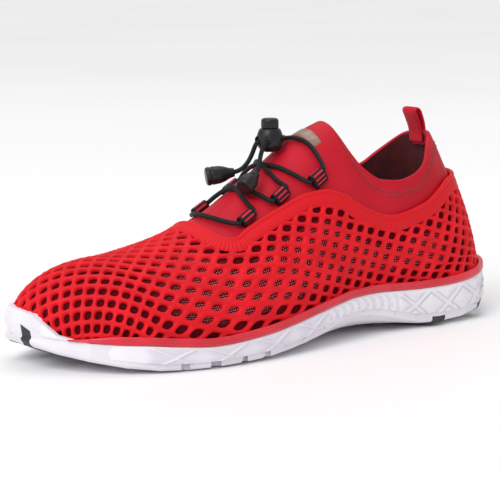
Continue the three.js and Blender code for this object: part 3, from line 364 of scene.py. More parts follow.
def tag(piece, name, values):
    """Gives every point of a piece a number that its material reads."""
    layer = piece.data.attributes.new(name, "FLOAT", "POINT")
    layer.data.foreach_set("value", np.asarray(values, np.float32).ravel())


def grid_faces(rows, columns, close_rows=False, close_columns=False):
    """Quads between points that lie row after row."""
    i = np.arange(rows if close_rows else rows - 1)
    j = np.arange(columns if close_columns else columns - 1)
    i, j = np.meshgrid(i, j, indexing="ij")
    k = (i + 1) % rows
    m = (j + 1) % columns
    quads = np.stack([i * columns + j, k * columns + j, k * columns + m, i * columns + m], -1)
    return quads.reshape(-1, 4).tolist()


def tube_faces(rows, sides):
    """Faces round rows of points that close, with both ends covered."""
    last = (rows - 1) * sides
    ends = [list(range(sides)), [last + i for i in reversed(range(sides))]]
    return grid_faces(rows, sides, close_columns=True) + ends


def join(parts):
    """Points and faces of several parts as one."""
    points = []
    faces = []
    count = 0
    for p, f in parts:
        points.append(np.asarray(p).reshape(-1, 3))
        faces += [[i + count for i in face] for face in f]
        count += len(points[-1])
    return np.concatenate(points), faces


def frames_along(points):
    """Tangents, and two directions across them that don't twist."""
    tangent = unit(np.gradient(points, axis=0))
    normal = np.cross(np.cross(tangent[0], (0, 0, 1)), tangent[0])
    normals = []
    for t in tangent:
        normal = unit(normal - t * normal.dot(t))
        normals.append(normal)
    normals = np.array(normals)
    return tangent, normals, np.cross(tangent, normals)


def tube(points, radius, sides):
    """A round tube through points, with closed ends."""
    _, n, b = frames_along(points)
    angle = circle(sides)
    around = n[:, None] * np.cos(angle)[None, :, None] + b[:, None] * np.sin(angle)[None, :, None]
    return points[:, None] + around * radius, tube_faces(len(points), sides)


def between(t, first, last, a, b):
    return (last - t) / (last - first) * a + (t - first) / (last - first) * b


def smooth_route(points, step):
    """A centripetal curve through points, sampled every step mm."""
    p = np.asarray(points, float)
    p = np.concatenate([[2 * p[0] - p[1]], p, [2 * p[-1] - p[-2]]])
    spans = np.maximum(np.linalg.norm(np.diff(p, axis=0), axis=1), 1e-6)
    out = []
    for i in range(1, len(p) - 2):
        a, b, c, d = p[i - 1:i + 3]
        t0, t1, t2, t3 = np.concatenate([[0], np.cumsum(spans[i - 1:i + 2] ** 0.5)])
        count = max(2, int(round(spans[i] / step)))
        t = np.linspace(t1, t2, count, endpoint=False)[:, None]
        a1 = between(t, t0, t1, a, b)
        a2 = between(t, t1, t2, b, c)
        a3 = between(t, t2, t3, c, d)
        out.append(between(t, t1, t2, between(t, t0, t2, a1, a2), between(t, t1, t3, a2, a3)))
    out.append(p[-2][None])
    return np.concatenate(out)


def relaxed(route, passes):
    """The route with its tight bends opened a little more in each pass. Its ends stay."""
    route = route.copy()
    keep = 6
    for _ in range(passes):
        middle = (route[:-2] + route[2:]) / 2
        route[keep:-keep] = mix(route[keep:-keep], middle[keep - 1:1 - keep], 0.5)
    return route


def lathe(profile, origin, axis, sides=40):
    """A turned form: profile holds radius and height along the axis."""
    axis = unit(np.asarray(axis, float))
    across = unit(np.cross(axis, (0, 0, 1) if abs(axis[2]) < 0.9 else (1, 0, 0)))
    angle = circle(sides)[:, None]
    ring = across * np.cos(angle) + np.cross(axis, across) * np.sin(angle)
    points = [origin + axis * z + ring * max(r, 0.01) for r, z in profile]
    return np.concatenate(points), grid_faces(len(profile), sides, close_columns=True)


def rounded(profile, radius):
    """A profile with its inner corners rounded."""
    out = [profile[0]]
    for corner in zip(profile, profile[1:], profile[2:]):
        a, b, c = (np.array(p, float) for p in corner)
        cut = min(radius, np.linalg.norm(a - b) / 2.1, np.linalg.norm(c - b) / 2.1)
        start = b + unit(a - b) * cut
        end = b + unit(c - b) * cut
        for t in (0, 0.25, 0.5, 0.75, 1):
            out.append(tuple((1 - t) ** 2 * start + 2 * t * (1 - t) * b + t * t * end))
    return [*out, profile[-1]]


# Materials

class Look:
    """A procedural material: a shader with helpers for its nodes."""

    def __init__(self, name, colour, roughness, **sockets):
        self.material = bpy.data.materials.new(name)
        self.material.use_nodes = True
        self.nodes = self.material.node_tree.nodes
        self.links = self.material.node_tree.links
        self.shader = self.nodes["Principled BSDF"]
        self.shader.inputs["Base Color"].default_value = (*colour, 1)
        self.shader.inputs["Roughness"].default_value = roughness
        for key, value in sockets.items():
            self.shader.inputs[key.replace("_", " ")].default_value = value
        self.height = None

    def node(self, kind, **values):
        made = self.nodes.new(kind)
        for key, value in values.items():
            if key in made.inputs:
                made.inputs[key].default_value = value
            else:
                setattr(made, key, value)
        return made

    def noise(self, scale, detail):
        coords = self.node("ShaderNodeTexCoord")
        made = self.node("ShaderNodeTexNoise", Scale=scale, Detail=detail)
        self.links.new(coords.outputs["Object"], made.inputs["Vector"])
        return made.outputs["Fac"]

    def ramp(self, source, *stops):
        made = self.node("ShaderNodeValToRGB")
        bar = made.color_ramp.elements
        while len(bar) < len(stops):
            bar.new(0.5)
        for element, (place, colour) in zip(bar, stops):
            element.position = place
            element.color = (*colour, 1)
        self.links.new(source, made.inputs["Fac"])
        return made.outputs["Color"]

    def ramp_value(self, source, low, high):
        """A smooth rise from 0 where the source is low to 1 where it is high."""
        made = self.node("ShaderNodeMapRange", interpolation_type="SMOOTHSTEP")
        made.inputs["From Min"].default_value = low
        made.inputs["From Max"].default_value = high
        self.links.new(source, made.inputs["Value"])
        return made.outputs["Result"]

    def math(self, kind, *values):
        made = self.node("ShaderNodeMath", operation=kind)
        for socket, value in zip(made.inputs, values):
            if isinstance(value, (int, float)):
                socket.default_value = value
            else:
                self.links.new(value, socket)
        return made.outputs[0]

    def paint(self, colour):
        self.links.new(colour, self.shader.inputs["Base Color"])

    def bump(self, source, strength, distance):
        """Adds a layer of bumps, with a depth in mm, over the ones before."""
        made = self.node("ShaderNodeBump", Strength=strength, Distance=distance * MM)
        self.links.new(source, made.inputs["Height"])
        if self.height:
            self.links.new(self.height, made.inputs["Normal"])
        self.height = made.outputs["Normal"]
        self.links.new(self.height, self.shader.inputs["Normal"])

    def lay(self):
        """The piece's own coordinates in mm, along and across it."""
        coords = self.node("ShaderNodeUVMap", uv_map="lay")
        split = self.node("ShaderNodeSeparateXYZ")
        self.links.new(coords.outputs["UV"], split.inputs["Vector"])
        return split.outputs["X"], split.outputs["Y"]

    def wave(self, source, pitch):
        """A wave from 0 to 1 along a coordinate in mm."""
        angle = self.math("MULTIPLY", source, 2 * math.pi / pitch)
        return self.math("MULTIPLY_ADD", self.math("SINE", angle), 0.5, 0.5)


def grained(name, colour, roughness, grain, low, high, *bumps, **sockets):
    """A material of two tones mixed by a noise. Each bump is scale, detail, strength and depth in mm."""
    look = Look(name, colour, roughness, **sockets)
    look.paint(look.ramp(look.noise(*grain), low, high))
    for scale, detail, strength, depth in bumps:
        look.bump(look.noise(scale, detail), strength, depth)
    return look


def hem_look():
    """Knit with fine ribs across the band."""
    look = Look("knit_hem", (0.62, 0.006, 0.014), 0.6, Specular_IOR_Level=0.2)
    along, across = look.lay()
    rib = look.wave(along, 1.3)
    look.paint(look.ramp(rib, (0.05, (0.56, 0.004, 0.01)), (0.6, (0.74, 0.008, 0.017))))
    look.bump(rib, 0.25, 0.3)
    look.bump(look.wave(across, 1.1), 0.2, 0.25)
    look.bump(look.noise(1800, 3), 0.4, 0.2)
    return look


def lining_look():
    """Fine inner mesh behind the holes: pale dots where it shows, dark elsewhere."""
    look = Look("lining", (0.08, 0.004, 0.008), 0.8, Specular_IOR_Level=0.1)
    along, across = look.lay()
    dots = look.math("MULTIPLY", look.wave(along, 1.25), look.wave(across, 1.25))
    shown = look.node("ShaderNodeAttribute", attribute_name="shown").outputs["Fac"]
    lit = look.math("MULTIPLY", look.ramp_value(dots, 0.42, 0.62), shown)
    look.paint(look.ramp(lit, (0.05, (0.09, 0.001, 0.005)), (0.9, (0.8, 0.3, 0.33))))
    return look


def relief_look():
    """Foam with shade painted into its folds, which are a little greyer than its ridges."""
    look = Look("foam_side", (0.83, 0.81, 0.86), 0.38)
    fold = look.node("ShaderNodeAttribute", attribute_name="fold").outputs["Fac"]
    # A noise adds random tone to the fold attribute, which is painted shade; the ramp darkens the foam where
    # it is high.
    tone_and_fold_shade = look.math("MULTIPLY_ADD", look.noise(60, 3), 0.3, fold)
    tones = (0.15, (0.84, 0.82, 0.87)), (0.6, (0.7, 0.67, 0.76)), (1, (0.5, 0.48, 0.58))
    look.paint(look.ramp(tone_and_fold_shade, *tones))
    look.bump(look.noise(420, 4), 0.14, 0.25)
    return look


def rubber_look():
    """Black rubber with fine cuts across it."""
    look = grained(
        "outsole_rubber", (0.028, 0.03, 0.034), 0.55, (120, 4),
        (0.3, (0.02, 0.021, 0.025)), (0.75, (0.045, 0.048, 0.055)), (1600, 3, 0.35, 0.15),
    )
    split = look.node("ShaderNodeSeparateXYZ")
    look.links.new(look.node("ShaderNodeTexCoord").outputs["Object"], split.inputs["Vector"])
    along = look.math("MULTIPLY", split.outputs["X"], 1 / MM)
    look.bump(look.wave(along, 1.3), 0.5, 0.25)
    return look


def badge_look():
    """Black enamel with a white ring near its edge."""
    look = Look("badge", (0.02, 0.02, 0.022), 0.35, Coat_Weight=0.3)
    radius, _ = look.lay()
    ring = look.math("MULTIPLY", look.ramp_value(radius, 8.4, 8.6), look.ramp_value(radius, 9.4, 9.2))
    look.paint(look.ramp(ring, (0.2, (0.015, 0.015, 0.017)), (0.8, (0.8, 0.8, 0.82))))
    look.bump(look.noise(1500, 2), 0.15, 0.08)
    return look


def cord_look():
    """Braided cord: two sets of strands that cross."""
    look = Look("cord", (0.01, 0.01, 0.011), 0.55, Specular_IOR_Level=0.3)
    along, around = look.lay()
    one = look.wave(look.math("ADD", along, around), STRAND)
    two = look.wave(look.math("SUBTRACT", along, around), STRAND)
    braid = look.math("MAXIMUM", one, two)
    look.paint(look.ramp(braid, (0.5, (0.003, 0.003, 0.0035)), (0.95, (0.016, 0.016, 0.018))))
    look.bump(braid, 0.8, 0.35)
    return look


def webbing_look():
    """Black webbing with short red bars across it."""
    look = Look("webbing", (0.01, 0.01, 0.012), 0.65, Specular_IOR_Level=0.25)
    along, across = look.lay()
    bars = look.ramp_value(look.wave(along, 2.3), 0.55, 0.68)
    inside = look.ramp_value(look.math("ABSOLUTE", across), 3.5, 3.2)
    stripe = look.math("MULTIPLY", bars, inside)
    look.paint(look.ramp(stripe, (0.1, (0.007, 0.007, 0.009)), (0.9, (0.62, 0.014, 0.04))))
    look.bump(look.math("MULTIPLY", look.wave(along, 0.8), look.wave(across, 0.75)), 0.7, 0.25)
    return look


def footbed_look():
    """Grey footbed with a honeycomb of dark dots underneath."""
    look = Look("footbed", (0.15, 0.13, 0.15), 0.85)
    coords = look.node("ShaderNodeTexCoord")
    cells = look.node("ShaderNodeTexVoronoi", Scale=260.0, Randomness=0.15)
    look.links.new(coords.outputs["Object"], cells.inputs["Vector"])
    look.paint(look.ramp(cells.outputs["Distance"], (0.3, (0.03, 0.02, 0.03)), (0.42, (0.2, 0.17, 0.19))))
    look.bump(cells.outputs["Distance"], 0.5, 0.5)
    return look


# Width of one strand of the cord's braid
STRAND = 1.3

KNIT = grained(
    "knit", (0.62, 0.006, 0.014), 0.6, (90, 4), (0.35, (0.62, 0.004, 0.011)), (0.68, (0.78, 0.008, 0.018)),
    (2600, 2, 0.35, 0.12), (500, 3, 0.25, 0.15), Specular_IOR_Level=0.2,
)
HEM = hem_look()
LINING = lining_look()
NEOPRENE = grained(
    "neoprene", (0.5, 0.004, 0.014), 0.55, (30, 3), (0.3, (0.46, 0.002, 0.014)), (0.7, (0.58, 0.004, 0.022)),
    (1500, 3, 0.3, 0.1), (70, 2, 0.2, 0.6), Specular_IOR_Level=0.25,
)
INSIDE = grained(
    "collar_lining", (0.13, 0.004, 0.008), 0.85, (160, 3),
    (0.3, (0.09, 0.003, 0.006)), (0.7, (0.17, 0.006, 0.011)), (900, 3, 0.5, 0.2), Sheen_Weight=0.2,
)
THREAD = grained(
    "thread", (0.42, 0.006, 0.014), 0.6, (700, 2), (0.3, (0.2, 0.002, 0.006)), (0.7, (0.3, 0.004, 0.01)),
    (2500, 2, 0.4, 0.1), Sheen_Weight=0.3,
)
FOAM = grained(
    "foam", (0.83, 0.81, 0.86), 0.42, (28, 3), (0.3, (0.7, 0.67, 0.75)), (0.7, (0.82, 0.8, 0.85)),
    (420, 4, 0.14, 0.25), Subsurface_Weight=0.12, Subsurface_Radius=(0.004, 0.003, 0.004),
)
RELIEF_FOAM = relief_look()
STRIP = grained(
    "strip", (0.66, 0.012, 0.03), 0.34, (60, 3), (0.3, (0.58, 0.009, 0.025)), (0.7, (0.74, 0.018, 0.042)),
    (600, 3, 0.12, 0.15), Coat_Weight=0.15, Coat_Roughness=0.3,
)
RUBBER = rubber_look()
CORD = cord_look()
WEB = webbing_look()
PLASTIC = grained(
    "plastic", (0.01, 0.01, 0.012), 0.34, (200, 3),
    (0.3, (0.007, 0.007, 0.008)), (0.7, (0.014, 0.014, 0.016)), (2200, 3, 0.12, 0.08), Specular_IOR_Level=0.35,
)
LABEL = grained(
    "label", (0.3, 0.19, 0.15), 0.36, (300, 2), (0.3, (0.25, 0.155, 0.125)), (0.7, (0.36, 0.24, 0.2)),
    (1800, 2, 0.2, 0.08), Metallic=0.35,
)
FOOTBED = footbed_look()
BADGE = badge_look()


# Camera

CAMERA_AZIMUTH = math.radians(-37.4)
CAMERA_ELEVATION = math.radians(8.8)
CAMERA_TARGET = Vector((-0.0036, 0.0083, 0.049))


def make_camera():
    """The photograph's angle on the one shoe, from 1 m away."""
    flat = math.cos(CAMERA_ELEVATION)
    back = Vector((
        math.sin(CAMERA_AZIMUTH) * flat,
        -math.cos(CAMERA_AZIMUTH) * flat,
        math.sin(CAMERA_ELEVATION),
    ))
    data = bpy.data.cameras.new("camera")
    data.sensor_width = 36
    data.lens = 138
    data.clip_start = 0.05
    data.clip_end = 20
    camera = bpy.data.objects.new("camera", data)
    camera.location = CAMERA_TARGET + back
    camera.rotation_mode = "QUATERNION"
    camera.rotation_quaternion = (-back).to_track_quat("-Z", "Y")
    bpy.context.scene.collection.objects.link(camera)
    bpy.context.scene.camera = camera


make_camera()


# Lacing: places on the tongue

def turn_at(at, side, y, off):
    """Turn of the wall's point that stands at a given Y."""
    ridge = wall(at, side, 1.0, off)[..., 1]

    def outside(turn):
        return abs(wall(at, side, turn, off)[..., 1] - ridge) > abs(y - ridge)

    low, high = halved((), outside, 26)
    return (low + high) / 2


def over(x, y, lift):
    """A point over the tongue at a distance from it, from its X and Y."""
    at = at_x(x)
    off = BOOTIE_OUT + lift
    side = -1 if y < wall(at, -1, 1.0, off)[1] else 1
    return wall(at, side, turn_at(at, side, y, off), off)


def above(at, across, lift):
    """A point straight above the tongue."""
    return over(x_at(at), across * BALL_WIDTH, 0) + np.array([0, 0, lift])


LOCK_MIDDLE = above(0.5219, 0.0421, LOCK_LIFT)
LOCK_ACROSS = np.cross((0, 0, 1), LOCK_AIM)
LOCK_ACROSS = LOCK_ACROSS * np.sign(LOCK_ACROSS[1])


def lock_bore(side, along):
    return LOCK_MIDDLE + LOCK_ACROSS * side * LOCK_BORE_SPACING / 2 + LOCK_AIM * along


# Bells: bore, and for via, nose and tail the place along the sole, across and above the tongue
BELLS = [
    (1, (0.4925, 0.086, 7.6), (0.4507, 0.0727, 8.1), (0.4055, 0.1377, 16.8)),
    (-1, (0.4815, -0.0172, 8.8), (0.4603, -0.0707, 9.5), (0.426, -0.0937, 10.3)),
]


def make_bell(number, nose, tail):
    """A bell-shaped stopper with a shallow ring near its wide end."""
    length = np.linalg.norm(tail - nose)
    radius = BELL_WIDTH / 2
    bore = CORD_DIAMETER / 2 + GAP
    profile = rounded([
        (0, BELL_BORE), (bore, BELL_BORE), (bore, 0), (0.46 * radius, 0), (0.56 * radius, 0.16 * length),
        (0.8 * radius, 0.34 * length), (0.94 * radius, 0.5 * length), (radius, 0.78 * length),
        (0.93 * radius, 0.8 * length), (0.93 * radius, 0.83 * length), (radius, 0.85 * length),
        (radius, 0.95 * length), (0.86 * radius, length), (0, length),
    ], 0.5)
    shape = lathe(profile, nose, tail - nose)
    return mesh_piece(f"bell_{number}", *shape, PLASTIC, "plastic", [f"cord_bell_{number}"])


def cord_tube(name, route, nodes):
    """A braided cord along a route, with coordinates along and round it."""
    sides = 12
    strands = 4
    around = np.arange(sides) * STRAND * strands / sides
    uv = np.stack(np.meshgrid(run_along(route), around, indexing="ij"), -1).reshape(-1, 2)
    return mesh_piece(name, *tube(route, CORD_DIAMETER / 2, sides), CORD, "cord", nodes, uv=uv)


def make_tail(number, row):
    """One end of the cord, from inside the lock to inside its bell."""
    bore, via, nose, tail = row
    nose = above(*nose)
    tail = above(*tail)
    aim = unit(tail - nose)
    bell = make_bell(number, nose, tail)
    route = relaxed(smooth_route([
        *[lock_bore(bore, share * LOCK_BALL) for share in (-0.33, -0.14, 0.1, 0.4, 0.58)],
        above(*via),
        nose - 3 * aim,
        nose,
        nose + (BELL_BORE - GAP) * aim,
    ], 0.6), 80)
    piece = cord_tube(f"cord_tail_{number}", route, [f"lace_tail_{number}"])


for index, bell_row in enumerate(BELLS):
    make_tail(index + 1, bell_row)


# Lacing: loops, crossings and lock

# Loops from toe to heel: at, and how far the fold and the seam stand out, as shares of the ball's width
LOOPS = [(0.4158, 0.15, 0.174), (0.4849, 0.161, 0.188), (0.5582, 0.189, 0.219)]
EYE_RADIUS = CORD_DIAMETER / 2 + 1.8 * GAP


class LoopFrame:
    """Place and directions of one webbing loop on the tongue."""

    def __init__(self, row, side):
        at, fold, seam = row
        off = BOOTIE_OUT + LOOP_LIFT
        step = LOOP_WIDTH / 2 / SOLE_LENGTH

        def point(place, reach):
            return wall(place, side, turn_at(at, -1, -reach * BALL_WIDTH, off), off)

        self.fold = point(at, fold)
        self.along = unit(point(at + step, fold) - point(at - step, fold))
        to_fold = self.fold - point(at, seam)
        to_fold = to_fold - self.along * to_fold.dot(self.along)
        self.length = np.linalg.norm(to_fold)
        self.to_fold = to_fold / self.length
        normal = np.cross(self.along, self.to_fold)
        self.normal = normal * np.sign(normal[2])

    def eye(self, u):
        return self.fold + self.normal * (EYE_RADIUS + WEBBING) + self.along * u


FRAMES = {side: [LoopFrame(row, side) for row in LOOPS] for side, _ in SIDES}


def band_section(width, half, narrow, edge, count):
    """A strip's section: places across it and their height, thinner at its edges."""
    row = [(w, half if abs(w) < edge else narrow) for w in np.linspace(-width / 2, width / 2, count)]
    return row + [(w, -h) for w, h in reversed(row)]


def make_loop(name, loop, node):
    """A folded strip of webbing: two layers that open round the cord, sewn down at the seam."""
    middle = EYE_RADIUS + WEBBING / 2
    centre = EYE_RADIUS + WEBBING
    line = [(-loop.length, WEBBING * 0.5), (-0.6 * loop.length, WEBBING * 0.5), (-1.2, centre - middle)]
    angles = np.linspace(-math.pi / 2, math.pi * 0.62, 15)
    line += [(middle * math.cos(a), centre + middle * math.sin(a)) for a in angles]
    line += [(-1.6 * middle, centre + 0.25), (-loop.length, WEBBING * 1.5)]
    line = np.array(line)
    tangent = unit(np.gradient(line, axis=0))
    section = band_section(LOOP_WIDTH, WEBBING / 2, WEBBING / 2 * 0.55, LOOP_WIDTH / 2 - 0.1, 10)
    points = []
    uv = []
    for run, place, (dx, dz) in zip(run_along(line), line, tangent):
        for w, h in section:
            out, up = place + np.array([-dz, dx]) * h
            points.append(loop.fold + loop.to_fold * out + loop.normal * up + loop.along * w)
            uv.append((run, w))
    mesh_piece(name, points, tube_faces(len(line), len(section)), WEB, "webbing", [node], uv=uv)


def run_between(side, first, first_end, second, second_end, middle):
    """Route from one loop to one across the tongue, over its ridge at the place called middle."""
    mine = FRAMES[side][first]
    other = FRAMES[-side][second]
    a = mine.eye(first_end * (LOOP_WIDTH / 2 + 1.2))
    b = other.eye(second_end * (LOOP_WIDTH / 2 + 1.2))
    inner = []
    for t in (0.14, 0.32, 0.5, 0.68, 0.86):
        sag = (x_at(middle) - (a[0] + b[0]) / 2) * 4 * t * (1 - t)
        inner.append(over(mix(a[0], b[0], t) + sag, mix(a[1], b[1], t), CORD_LIFT))
    start = [mine.eye(0), mine.eye(first_end * LOOP_WIDTH / 3), a]
    return [*start, *inner, b, other.eye(second_end * LOOP_WIDTH / 3), other.eye(0)]


# Runs of cord: side, loop and its end at both ends, and where the run crosses the ridge
RUNS = [
    (-1, 0, -1, 0, -1, 0.3699),
    (-1, 0, 1, 1, -1, 0.4397),
    (1, 0, 1, 1, -1, 0.4411),
    (-1, 1, 1, 2, -1, 0.4979),
    (1, 1, 1, 2, -1, 0.5),
]
# The climb to the lock: at, and the lateral and the medial place as shares of the ball's width
CLIMB = [(0.574, -0.143, 0.177), (0.5699, -0.083, 0.124), (0.5623, -0.01, 0.073)]


def make_crossings():
    routes = [run_between(*row) for row in RUNS]
    for key, (side, _) in enumerate(SIDES, 1):
        loop = FRAMES[side][2]
        routes.append([
            loop.eye(0),
            loop.eye(LOOP_WIDTH / 3),
            loop.eye(LOOP_WIDTH / 2 + 1),
            *[over(x_at(row[0]), row[key] * BALL_WIDTH, CORD_LIFT) for row in CLIMB],
            lock_bore(side, -LOCK_BALL / 2 - 1.5),
            lock_bore(side, -LOCK_BALL / 2 + 2),
        ])
    for number, route in enumerate(routes):
        cord_tube(f"cord_run_{number + 1}", smooth_route(route, 0.7), ["lace_crossings"])


# Rim round each hole of the lock: radius, and height over the ball
LOCK_RIM = [(2.3, -1.4), (2.35, 0.35), (2.1, 0.7), (1.75, 0.7), (1.55, 0.35), (1.5, -1.4)]


def make_lock():
    """The lock's ball and its button, with rims round the cord's holes and a slot in the button."""
    size = LOCK_BALL
    ball = rounded([
        (0, -0.464), (0.246, -0.457), (0.406, -0.348), (0.47, -0.23), (0.5, -0.09), (0.5, 0.11),
        (0.46, 0.25), (0.428, 0.333), (0.377, 0.42), (0.283, 0.42), (0.283, 0.232), (0, 0.232),
    ], 0.06)
    points, faces = lathe([(r * size, z * size) for r, z in ball], LOCK_MIDDLE, (0, 0, 1), 56)
    angle = circle(24)[:, None]
    ring = LOCK_ACROSS * np.cos(angle) + np.array([0, 0, 1]) * np.sin(angle)
    rims = []
    for side in (-1, 1):
        for end in (-1, 1):
            middle = lock_bore(side, end * LOCK_BALL * 0.44)
            p = np.concatenate([middle + ring * r + LOCK_AIM * end * h for r, h in LOCK_RIM])
            rims.append((p, grid_faces(len(LOCK_RIM), len(ring), close_columns=True)))
    mesh_piece("lock_ball", *join([(points, faces), *rims]), PLASTIC, "plastic", ["cord_lock_body"])
    button = rounded([
        (0, 0.254), (0.25, 0.254), (0.25, 0.425), (0.333, 0.435), (0.333, 0.7), (0.31, 0.77),
        (0.25, 0.805), (0.12, 0.815), (0, 0.815),
    ], 0.05)
    points, faces = lathe([(r * size, z * size) for r, z in button], LOCK_MIDDLE, (0, 0, 1), 72)
    away = points - LOCK_MIDDLE
    angle = np.arctan2(away[:, 1], away[:, 0])
    radius = np.hypot(away[:, 0], away[:, 1])
    grip = (radius > 0.3 * size) * ease(away[:, 2], 0.46 * size, 0.5 * size)
    turned = np.abs((angle + 0.55 + math.pi) % (2 * math.pi) - math.pi)
    slot = 1 - 0.16 * grip * (1 - ease(turned, 0.12, 0.2))
    points = LOCK_MIDDLE + away * np.stack([slot, slot, np.ones(len(slot))], -1)
    mesh_piece("lock_button", points, faces, PLASTIC, "plastic", ["cord_lock_button"])


for loop_side, side_name in SIDES:
    for index, loop_frame in enumerate(FRAMES[loop_side]):
        make_loop(f"loop_{side_name}_{index + 1}", loop_frame, f"cord_loop_{side_name}_{index + 1}")
make_crossings()
make_lock()


# Knit upper: its lattice lies in a plane of p along the shoe and q to the sides of the ridge

LATTICE_PITCH = 9.8
LATTICE_ROW = 4.4
LATTICE_SHEAR = 0.54
GIRTH_STEP = 1.0
GIRTH_MOST = 150
# Height at which the length round the heel is measured
BELT = 45.0
# Half sizes of a hole, along and across the shoe, and their share where the fine inner mesh shows
HOLE_HALF = (2.75, 2.25)
HOLE_FINE = 0.8


class Lay:
    """Tables of the wall's girth on one side, to go from lattice places to the surface."""

    def __init__(self, side):
        self.side = side
        self.at = crowded(261)
        turn = np.linspace(0, 1, 97)
        points = wall(self.at[:, None], side, turn[None, :], MESH_OUT)
        steps = np.linalg.norm(np.diff(points, axis=1), axis=2)
        girth = np.concatenate([np.zeros((len(self.at), 1)), np.cumsum(steps, axis=1)], axis=1)
        self.total = girth[:, -1]
        self.v = np.arange(0, GIRTH_MOST, GIRTH_STEP)
        self.turn = np.array([np.interp(self.v, row, turn) for row in girth])
        out = Stations(self.at, side)
        self.polar = side * np.arctan2(out.out_y, -out.out_x)
        height = turn_where(self.at, side, MESH_OUT, lambda at: np.full(np.shape(at), BELT))
        belt = wall(self.at, side, height, MESH_OUT)
        run = np.concatenate([[0], np.cumsum(np.hypot(*np.diff(belt[:, :2], axis=0).T))])
        heel = np.interp(HEEL_FAN, self.at, run)
        straight = x_at(self.at) - x_at(TOE_FAN)
        self.p = np.where(self.at <= HEEL_FAN, straight, x_at(HEEL_FAN) - x_at(TOE_FAN) + run - heel)
        crest = self.total + seat_z(self.at)
        at_throat = np.interp(THROAT_AT, self.at, crest)
        beyond = at_throat + 0.33 * (self.p - np.interp(THROAT_AT, self.at, self.p))
        self.crest = np.where(self.at <= THROAT_AT, crest, beyond)

    def surface_place(self, p, q):
        """Place along the sole and height up the wall, in mm of girth, of lattice places."""
        cap = p < 0
        rho = np.hypot(p, q)
        front = self.at <= TOE_FAN
        at_cap = np.interp(np.arctan2(q * self.side, -p), self.polar[front], self.at[front])
        v_cap = np.interp(at_cap, self.at, self.total) - rho
        later = ~front
        at_rear = np.interp(p, self.p[later], self.at[later])
        v_rear = np.interp(at_rear, self.at, self.crest) - np.abs(q) - seat_z(at_rear)
        return np.where(cap, at_cap, at_rear), np.where(cap, v_cap, v_rear)

    def turn_of(self, at, v):
        i = np.clip(np.searchsorted(self.at, at) - 1, 0, len(self.at) - 2)
        s = np.clip((at - self.at[i]) / (self.at[i + 1] - self.at[i]), 0, 1)
        f = np.clip(v / GIRTH_STEP, 0, len(self.v) - 1.001)
        j = f.astype(int)
        t = f - j
        low = mix(self.turn[i, j], self.turn[i, j + 1], t)
        high = mix(self.turn[i + 1, j], self.turn[i + 1, j + 1], t)
        return mix(low, high, s)


LAYS = {side: Lay(side) for side in (-1, 1)}


def sheared(p, q):
    """Fabric pulled back on both sides: lattice places to places on the shoe."""
    soft = np.sqrt(q * q + 15 ** 2) - 15
    return p + LATTICE_SHEAR * ease(p, 0, 60) * soft


def lattice_surface(p, q):
    """Side, place along the sole, girth and turn of lattice places."""
    p = sheared(p, q)
    ridge = np.where(p < 0, np.arctan2(q, -p) - LAYS[1].polar[0], q)
    side = np.where(ridge < 0, -1, 1)
    at = np.zeros(np.shape(p))
    v = np.zeros(np.shape(p))
    turn = np.zeros(np.shape(p))
    for one in (-1, 1):
        mine = side == one
        at[mine], v[mine] = LAYS[one].surface_place(p[mine], q[mine])
        turn[mine] = LAYS[one].turn_of(at[mine], v[mine])
    return side, at, v, turn


def edge_curve(side):
    """The mesh's upper edge on one side, from the ridge of the throat to the middle of the back."""
    at = THROAT_AT + (1 - THROAT_AT) * np.linspace(0, 1, 420) ** 1.6
    turn = turn_where(at, side, MESH_OUT, mesh_edge_z)
    turn[0] = 1
    return at, turn


def resampled(at, turn, side, step):
    """The edge in even steps, with the distance along it."""
    run = run_along(wall(at, side, turn, MESH_OUT))
    even = np.linspace(0, run[-1], int(run[-1] / step))
    return np.interp(even, run, at), np.interp(even, run, turn), even


EDGES = {side: edge_curve(side) for side, _ in SIDES}
EDGE_POINTS = np.concatenate([wall(at, side, turn, MESH_OUT) for side, (at, turn) in EDGES.items()])


def edge_distance(points):
    """Distance to the mesh's edge, below 0 for points beyond it."""
    near = np.full(len(points), 1e9)
    for start in range(0, len(EDGE_POINTS), 40):
        away = points[:, None] - EDGE_POINTS[None, start:start + 40:4]
        near = np.minimum(near, np.linalg.norm(away, axis=2).min(axis=1))
    beyond = points[:, 2] > mesh_edge_z(at_x(points[:, 0]))
    return np.where(beyond, -near, near)


# One knit cell from its border to the bottom of its hole: share of the way in, and height over the wall
CELL_ROWS = [(0, 0.45), (0.4, 0.4), (0.72, 0.12), (1, -0.45), (1.06, -1.5)]
CELL_POINTS = 16


def whole_cells():
    """Middles of the holes that fit between the sole, the mesh's edge and the middle of the back."""
    j, i = np.meshgrid(np.arange(-36, 37), np.arange(-8, 36), indexing="ij")
    p = ((i + 0.5 * (j % 2)) * LATTICE_PITCH).ravel()
    q = (j * LATTICE_ROW).ravel()
    side, at, v, turn = lattice_surface(p, q)
    centre = wall(at, side, turn, MESH_OUT)
    back = np.array([np.interp(1.0, LAYS[one].at, LAYS[one].p) for one, _ in SIDES])
    room = np.where(side < 0, back[0], back[1]) - sheared(p, q)
    fits = (v > -LATTICE_ROW) & (edge_distance(centre) > 4.6) & (at < 0.9999) & (room > 2)
    return p[fits], q[fits], shown_share(at[fits], centre[fits])


